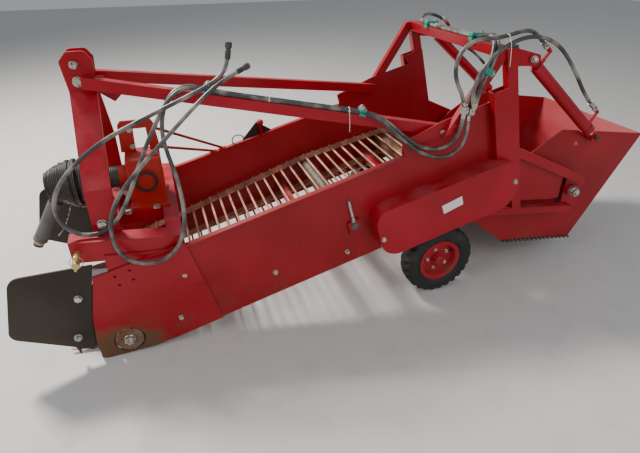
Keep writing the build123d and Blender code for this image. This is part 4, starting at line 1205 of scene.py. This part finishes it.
@dataclass(frozen=True)
class Hose:
    """Hydraulic hose that follows a given route."""

    node: str
    route: Sequence[Point]
    length: float
    free_end: bool = False
    barrel: str | None = None

    def curve(self, name: str, radius: float) -> bpy.types.Object:
        """Curve whose control points are the route.

        Args:
            name: Name of the curve.
            radius: Its radius, or nothing for a bare centre line.

        Returns:
            The curve, in the scene.
        """
        data = bpy.data.curves.new(name, "CURVE")
        data.dimensions = "3D"
        data.bevel_depth = radius
        data.bevel_resolution = 5
        data.use_fill_caps = True
        spline = data.splines.new("NURBS")
        spline.points.add(len(self.route) - 1)
        for knot, place in zip(spline.points, self.route):
            knot.co = (*mm(*place), 1.0)
        spline.order_u = 3
        spline.use_endpoint_u = True
        spline.resolution_u = 10
        piece = bpy.data.objects.new(name, data)
        bpy.context.scene.collection.objects.link(piece)
        return piece

    def coupling(self, materials: Materials) -> bpy.types.Object:
        """Coupling in its black dust cap on the free end.

        Args:
            materials: The materials by name.

        Returns:
            The piece.
        """
        before, last = (mm(*place) for place in self.route[-2:])
        batch = Batch(f"{self.node}_coupling", materials["black_plastic"], slot="black_plastic")
        rings = [(0.0105, -0.030), (0.0112, -0.028), (0.0112, 0.004), (0.0090, 0.006), (0.0090, 0.010),
                 (0.0130, 0.012), (0.0135, 0.016), (0.0135, 0.030), (0.0120, 0.034)]
        batch.put(lathe(rings, 20), stand_on(last, last - before))
        return batch.build()

    def build(self, materials: Materials) -> None:
        """Args:
            materials: The materials by name.
        """
        piece = self.curve(f"{self.node}_rubber", HOSE_RADIUS)
        path = None
        piece.data.materials.append(materials["hose_rubber"])
        if self.barrel:
            piece, path = self.flexing(piece)
        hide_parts(self.node)
        if self.barrel is None:
            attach(piece, "frame")
        [self.coupling(materials)] if self.free_end else []
        log.info("%s: %.2f m", piece.name, self.length)

    def flexing(self, curve: bpy.types.Object) -> tuple[bpy.types.Object, list[Vector]]:
        """Mesh copy of the hose, made from its curve.

        Args:
            curve: The hose's curve, which the copy takes the place of.

        Returns:
            The mesh piece, and the points of its centre line.
        """
        thin = self.curve("centre_line", 0.0)
        bpy.context.view_layer.update()
        graph = bpy.context.evaluated_depsgraph_get()
        line = bpy.data.meshes.new_from_object(thin.evaluated_get(graph))
        path = [vertex.co.copy() for vertex in line.vertices]
        mesh = bpy.data.meshes.new_from_object(curve.evaluated_get(graph))
        piece = bpy.data.objects.new(curve.name + "_flexing", mesh)
        bpy.context.scene.collection.objects.link(piece)
        bpy.data.objects.remove(thin)
        bpy.data.objects.remove(curve)
        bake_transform(piece)
        return piece, path


HOSES = (
    Hose("feed_hose_a", FEED_HOSE_A, 3.26, free_end=True),
    Hose("feed_hose_b", FEED_HOSE_B, 3.25, free_end=True),
    Hose("hose_left_top", HOSE_LEFT_TOP, 0.737, barrel="barrel_left"),
    Hose("hose_left_low", HOSE_LEFT_LOW, 1.033, barrel="barrel_left"),
    Hose("hose_right_top", HOSE_RIGHT_TOP, 1.282, barrel="barrel_right"),
    Hose("hose_right_low", HOSE_RIGHT_LOW, 1.608, barrel="barrel_right"),
)


@dataclass(frozen=True)
class HoseClamp:
    """Two-part plastic clamp round a pair of hoses, with two bolts and, if it has one, a steel plate."""

    place: Point
    along: Point
    outwards: Point
    width: float = 0.056
    height: float = 0.030
    length: float = 0.030
    plate: float = 0.003
    waist: float = 0.0015
    plate_share: float = 0.8
    bolt_share: float = 0.36

    def put(self, plastic: Batch, metal: Batch) -> None:
        """Add the clamp.

        Args:
            plastic: Batch for its halves.
            metal: Batch for its plate and bolts.
        """
        up = Vector(self.outwards).normalized()
        across = up.cross(Vector(self.along).normalized()).normalized()
        turned = Matrix((across, across.cross(up), up)).transposed().to_4x4()
        seat = Matrix.Translation(mm(*self.place)) @ turned
        half = block((self.width, self.length, self.height / 2 - self.waist))
        for level in (-1, 1):
            middle = level * (self.height / 4 + self.waist / 2)
            plastic.put(half, seat @ Matrix.Translation((0, 0, middle)))
        top = self.height / 2 + self.plate
        if self.plate:
            sheet = block((self.width, self.length * self.plate_share, self.plate))
            metal.put(sheet, seat @ Matrix.Translation((0, 0, top - self.plate / 2)))
        for share in (-self.bolt_share, self.bolt_share):
            M8.put(metal, seat @ Vector((share * self.width, 0, top)), up)


@dataclass(frozen=True)
class CableTie:
    """Plastic tie round a pair of hoses, with its free tail."""

    place: Point
    along: Point
    up: Point
    half_width: float = 0.0195
    half_height: float = 0.0105
    tail: float = 0.06
    band_wire: float = 0.0016
    tail_wire: float = 0.0013
    squareness: float = 0.6
    lean: float = 0.25
    head_size: Point = (0.007, 0.006, 0.006)

    def put(self, batch: Batch) -> None:
        """Add the band, its head and its tail.

        The band is centre + across * half_width * c + up * half_height * s, with c and s the cosine and
        sine to the power of the squareness. The tail is head - (across * lean + z * share) * tail * share.

        Args:
            batch: Batch for the tie.
        """
        up = Vector(self.up).normalized()
        across = up.cross(Vector(self.along).normalized()).normalized()
        centre = mm(*self.place)
        turns = circle(1.0, 20)
        squared = np.sign(turns) * np.abs(turns) ** self.squareness * (self.half_width, self.half_height)
        band = [centre + across * side + up * rise for side, rise in squared]
        batch.put(tube(band, self.band_wire, 6, closed=True))
        head = centre - across * self.half_width
        batch.put(block(self.head_size), Matrix.Translation(head))
        if self.tail:
            droop = [head - (across * self.lean + UP * share) * self.tail * share
                     for share in (0.0, 0.3, 0.6, 0.85, 1.0)]
            batch.put(tube(droop, self.tail_wire, 6))


BRACE_ALONG = (1471.0, -318.0, -254.0)
BRACE_UP = (0.168, -0.035, 0.985)
CLAMPS = (
    HoseClamp((-672, -173, 1084), BRACE_ALONG, BRACE_UP, height=0.036),
    HoseClamp((-40, -312, 966), BRACE_ALONG, BRACE_UP),
    HoseClamp((569, -195, 1225), (0, 1, 0), (0, 0, 1), height=0.036, width=0.068, plate=0.0),
    HoseClamp((573, 222, 1224), (0, 1, 0), (0, 0, 1), height=0.036, width=0.068, plate=0.0),
    HoseClamp((463, -453, 1132), (28, 0, 52), (0, -1, 0), width=0.062, plate=0.0),
)
TIES = (
    CableTie((-427, -219, 1031), BRACE_ALONG, BRACE_UP, tail=0.0),
    CableTie((-96, -294, 974), BRACE_ALONG, BRACE_UP, tail=0.085),
    CableTie((530, -470, 1254), (1, 0, 0.35), (-0.3, 0, 1), half_width=0.012, half_height=0.024, tail=0.10),
)


@dataclass(frozen=True)
class HoseSet(Part):
    """Every hose with the clamps and ties that hold them."""

    clamp_rounding: float = 0.003

    def build(self) -> None:
        """Make the hoses, then the clamps, their plates and the ties."""
        for hose in HOSES:
            hose.build(self.materials)
        plastic = self.batch("hose_clamps", "green_plastic", slot="black_plastic")
        metal = self.batch("hose_clamp_plates", "zinc")
        for clamp in CLAMPS:
            clamp.put(plastic, metal)
        plastic.build(rounded=self.clamp_rounding)
        metal.build()
        ties = self.batch("cable_ties", "white_plastic", slot="black_plastic")
        for tie in TIES:
            tie.put(ties)
        ties.build(smooth=True)


@dataclass(frozen=True)
class HoseEnds(Part):
    """Swivel nuts and crimped sleeves that join the hoses to the elbows on the cylinders."""

    barrel_axis: Point = (0.77254, 0.0, -0.63497)
    out: float = 0.415
    top_mouth: tuple[float, float] = (0.7841, 1.2028)
    low_mouth: tuple[float, float] = (1.1653, 0.8894)
    top_length: float = 0.034
    low_length: float = 0.056

    def build(self) -> None:
        """Make the ends at each elbow's mouth, on the barrel's body."""
        back = -Vector(self.barrel_axis)
        nut = lathe([(0.0125, -0.002), (0.0135, 0.0), (0.0135, 0.012), (0.0125, 0.014)], 6)
        for side in Side:
            batch = self.batch(f"hose_ends_{side.word}", "zinc", f"barrel_{side.word}")
            for mouth, length in ((self.top_mouth, self.top_length), (self.low_mouth, self.low_length)):
                seat = stand_on(side.at(*mouth, self.out), back)
                batch.put(nut, seat)
                sleeve = [(0.0105, 0.012), (0.0108, 0.018), (0.0116, 0.019), (0.0116, length - 0.002),
                          (0.0108, length)]
                batch.put(lathe(sleeve, 20), seat)
            batch.build()


# Hitch, guards and small fittings
@dataclass(frozen=True)
class LinchPins(Part):
    """Linch pin with its spring ring through each lower link pin."""

    x: float = -1.266
    z: float = 0.5493
    out: float = 0.484
    lean: Point = (0.25, 0.0, 1.0)
    ring_off: Point = (0.004, 0.004, 0.010)
    ring_out: float = 0.006
    ring_radius: float = 0.024
    wire: float = 0.0016

    def build(self) -> None:
        """Make both pins and rings."""
        batch = self.batch("linch_pins", "yellow_zinc")
        pin = lathe([(0.005, -0.030), (0.005, 0.026), (0.009, 0.028), (0.009, 0.036), (0.005, 0.038)], 12)
        for side in Side:
            place = side.at(self.x, self.z, self.out)
            batch.put(pin, stand_on(place, Vector(self.lean)))
            centre = place + Vector(self.ring_off) + side.outwards * self.ring_out
            ring = oval(centre, Vector((self.ring_radius, 0, 0)), UP * self.ring_radius, 24)
            batch.put(tube(ring, self.wire, 6, closed=True))
        batch.build()


@dataclass(frozen=True)
class Chain:
    """Thin chain of twisted links that sags between two points."""

    start: Point
    end: Point
    sag: float
    pitch: float = 0.0095
    link_half: float = 0.0062
    link_across: float = 0.0032
    wire: float = 0.0010

    def put(self, batch: Batch) -> None:
        """Add the links, each turned a quarter from the last.

        The chain hangs by 4 * sag * share * (1 - share) below the line between its ends.

        Args:
            batch: Batch for the chain.
        """
        start, end = mm(*self.start), mm(*self.end)
        ahead = (end - start).normalized()
        level = ahead.cross(UP).normalized()
        links = int((end - start).length / self.pitch)
        for index in range(links):
            share = (index + 0.5) / links
            centre = start.lerp(end, share) - UP * self.sag * 4 * share * (1 - share)
            flat = UP if index % 2 else level
            link = oval(centre, ahead * self.link_half, flat * self.link_across, 8)
            batch.put(tube(link, self.wire, 5, closed=True))


@dataclass(frozen=True)
class ShaftGuard(Part):
    """Grey tube of the drive shaft's guard, the worn collar at its end and the guard's check chains."""

    top: Point = (-1352, 0, 640)
    low: Point = (-1486, 0, 418)
    chains: tuple[Chain, ...] = (
        Chain((-1324, -96, 646), (-1240, -104, 602), 0.012),
        Chain((-1304, -92, 612), (-1384, -100, 480), 0.020),
    )

    def build(self) -> None:
        """Make the tube, the collar and the chains."""
        seat = stand_on(mm(*self.top), mm(*self.low) - mm(*self.top))
        sleeve = self.batch("shaft_tube", "grey_plastic", slot="black_plastic")
        rings = [(0.0296, 0.05), (0.0296, 0.245), (0.0316, 0.246), (0.0316, 0.2585), (0.024, 0.2590)]
        sleeve.put(lathe(rings, 32), seat)
        sleeve.build()
        collar = self.batch("shaft_collar", "tan_plastic", slot="black_plastic")
        collar.put(lathe([(0.0235, 0.256), (0.0245, 0.270), (0.0200, 0.284), (0.0120, 0.286)], 20), seat)
        collar.build()
        metal = self.batch("guard_chains", "zinc")
        for chain in self.chains:
            chain.put(metal)
        metal.build()


@dataclass(frozen=True)
class WallFittings(Part):
    """Post and ring on the right wall's flange, cap on the left upright and painted shade round the gearbox
    covers.
    """

    post_at: Point = (-343, 414, 640)
    ring_at: Point = (-474, 420, 632)
    ring_half: tuple[float, float] = (0.034, 0.030)
    ring_wire: float = 0.0035
    cap_at: Point = (585, -430, 1220)
    cap_size: Point = (0.044, 0.034, 0.012)
    cap_rounding: float = 0.0008
    cover_at: tuple[float, float] = (-0.977, 0.680)
    cover_out: float = 0.099
    rim_inner: float = 0.0362
    rim_outer: float = 0.0500
    rim_thickness: float = 0.0012

    def post(self) -> None:
        """Knobbed post on the flange."""
        batch = self.batch("flange_post", "red_paint", slot="red_paint")
        rings = [(0.011, 0.0), (0.010, 0.070), (0.017, 0.074), (0.019, 0.084), (0.017, 0.094),
                 (0.009, 0.099)]
        batch.put(lathe(rings, 20), stand_on(mm(*self.post_at), UP))
        batch.build(smooth=True)

    def dark_fittings(self) -> None:
        """Wire ring on the flange and plastic cap on the upright."""
        batch = self.batch("dark_fittings", "black_plastic", slot="black_plastic")
        ring = oval(mm(*self.ring_at), Vector((self.ring_half[0], 0, 0)), UP * self.ring_half[1], 24)
        batch.put(tube(ring, self.ring_wire, 8, closed=True))
        batch.put(block(self.cap_size), Matrix.Translation(mm(*self.cap_at)))
        batch.build(rounded=self.cap_rounding)

    def cover_rims(self) -> None:
        """Dark hoop of painted shade, for the recess round the cover on each side of the gearbox."""
        batch = self.batch("cover_gaskets", "shield_paint", slot="dark_shield")
        hoop = lathe([(self.rim_inner, 0.0), (self.rim_outer, 0.0), (self.rim_outer, self.rim_thickness),
                      (self.rim_inner, self.rim_thickness)], 40, closed=True)
        for side in Side:
            batch.put(hoop, stand_on(side.at(*self.cover_at, self.cover_out), side.outwards))
        batch.build()

    def build(self) -> None:
        """Make the fittings."""
        self.post()
        self.dark_fittings()
        self.cover_rims()


@dataclass(frozen=True)
class FloorBars(Part):
    """Round bars across the underside of the bucket's floor, with their ends outside the side plates."""

    front: Point = (0.812, 0.0, 0.1715)
    rear: Point = (1.270, 0.0, 0.1177)
    radius: float = 0.0065
    half_length: float = 0.392
    bars: int = 17

    def build(self) -> None:
        """Make the bars, evenly spaced, and let them tip with the bucket."""
        batch = self.batch("bucket_floor_bars", "dull_steel", "bucket")
        bar = lathe([(self.radius, -self.half_length), (self.radius, self.half_length)], 12)
        for share in np.linspace(0, 1, self.bars):
            batch.put(bar, stand_on(Vector(self.front).lerp(Vector(self.rear), share), Vector((0, 1, 0))))
        batch.build()


@dataclass(frozen=True)
class Label(Part):
    """Blank label on the chain guard, with its corners as x and z in millimetres."""

    corners: tuple[tuple[float, float], ...] = ((304, 538), (405, 574), (419, 530), (321, 494))
    outer: float = GUARD_FACE + 0.0006
    inner: float = GUARD_FACE + 0.0001

    def build(self) -> None:
        """Make the label as a thin plate."""
        batch = self.batch("guard_label", "label_film", slot="dark_shield")
        rings = np.array([Side.LEFT.at(x / 1000, z / 1000, out) for out in (self.outer, self.inner)
                          for x, z in self.corners])
        batch.put(Shape(rings, grid_faces(2, len(self.corners))))
        batch.build()


@dataclass(frozen=True)
class WeldBead:
    """Row of overlapping ripples along a seam."""

    start: Point
    end: Point
    radius: float = 0.0035
    pitch: float = 0.0045
    hollow: float = 0.72

    def put(self, batch: Batch) -> None:
        """Add the bead. Each ring of a tube is scaled about its centre, by 1 and by the hollow in turn.

        Args:
            batch: Batch for the bead.
        """
        start, end = mm(*self.start), mm(*self.end)
        count = max(3, int((end - start).length / self.pitch))
        path = [start.lerp(end, index / count) for index in range(count + 1)]
        bead = tube(path, self.radius, 6)
        rings = bead.points.reshape(-1, 6, 3)
        centres = np.array(path)[:, None, :]
        ripple = np.where(np.arange(count + 1) % 2, self.hollow, 1.0)[:, None, None]
        batch.put(Shape((centres + (rings - centres) * ripple).reshape(-1, 3), bead.faces))


@dataclass(frozen=True)
class Welds(Part):
    """Painted weld beads along the seams that show, in millimetres.

    A point of the cheek's seam is x and z. One of the other seams is its distance out from the machine's
    middle, then x and z of both its ends.
    """

    cheek_seam: tuple[tuple[float, float], ...] = (
        (-897, 350), (-936, 338), (-948, 317), (-934, 300), (-870, 303), (-815, 311), (-798, 235),
    )
    cheek_bead: float = 0.002
    seams: tuple[tuple[float, tuple[float, float], tuple[float, float]], ...] = (
        (334, (-1201, 604), (-1099, 593)),
        (45, (-1201, 1082), (-1099, 1082)),
        (450, (600, 434), (1040, 377)),
        (440, (330, 892), (398, 910)),
        (408, (548, 1165), (548, 1214)),
    )

    def build(self) -> None:
        """Make the bead on the left cheek and those on both sides."""
        batch = self.batch("weld_beads", "red_paint", slot="red_paint")
        cheek = -1000 * CHEEK_FACE
        for (x0, z0), (x1, z1) in zip(self.cheek_seam, self.cheek_seam[1:]):
            WeldBead((x0, cheek, z0), (x1, cheek, z1), self.cheek_bead).put(batch)
        for side in Side:
            for out, (x0, z0), (x1, z1) in self.seams:
                WeldBead((x0, side.value * out, z0), (x1, side.value * out, z1)).put(batch)
        batch.build(smooth=True)


# Stage
@dataclass(frozen=True)
class Studio(Part):
    """Pale floor, soft lights, even sky and the camera."""

    floor_half: float = 14.0
    sky: tuple[float, float, float, float] = (0.86, 0.92, 1.0, 1.0)
    sky_strength: float = 0.38

    def build(self) -> None:
        """Make the stage."""
        CameraSetup().build()
        half = self.floor_half
        corners = np.array([(-half, -half, 0.0), (half, -half, 0.0), (half, half, 0.0), (-half, half, 0.0)])
        floor = new_piece("floor", Shape(corners, [[0, 1, 2, 3]]), self.materials["floor"], smooth=False)
        [light.build() for light in LIGHTS]
        world = bpy.data.worlds.new("studio")
        world.use_nodes = True
        background = world.node_tree.nodes["Background"]
        background.inputs["Color"].default_value = self.sky
        background.inputs["Strength"].default_value = self.sky_strength
        bpy.context.scene.world = world


PARTS: tuple[type[Part], ...] = (
    Studio, HoseSet, NodePaint, Fasteners, Wheels, LinchPins, HoseEnds, ShaftGuard, WallFittings,
    FloorBars, Label, Welds,
)


def main() -> None:
    """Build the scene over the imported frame."""
    logging.basicConfig(level=logging.INFO, format="%(name)s: %(message)s")
    materials = build_materials()
    for part in PARTS:
        part(materials).build()


if __name__ == "__main__":
    main()
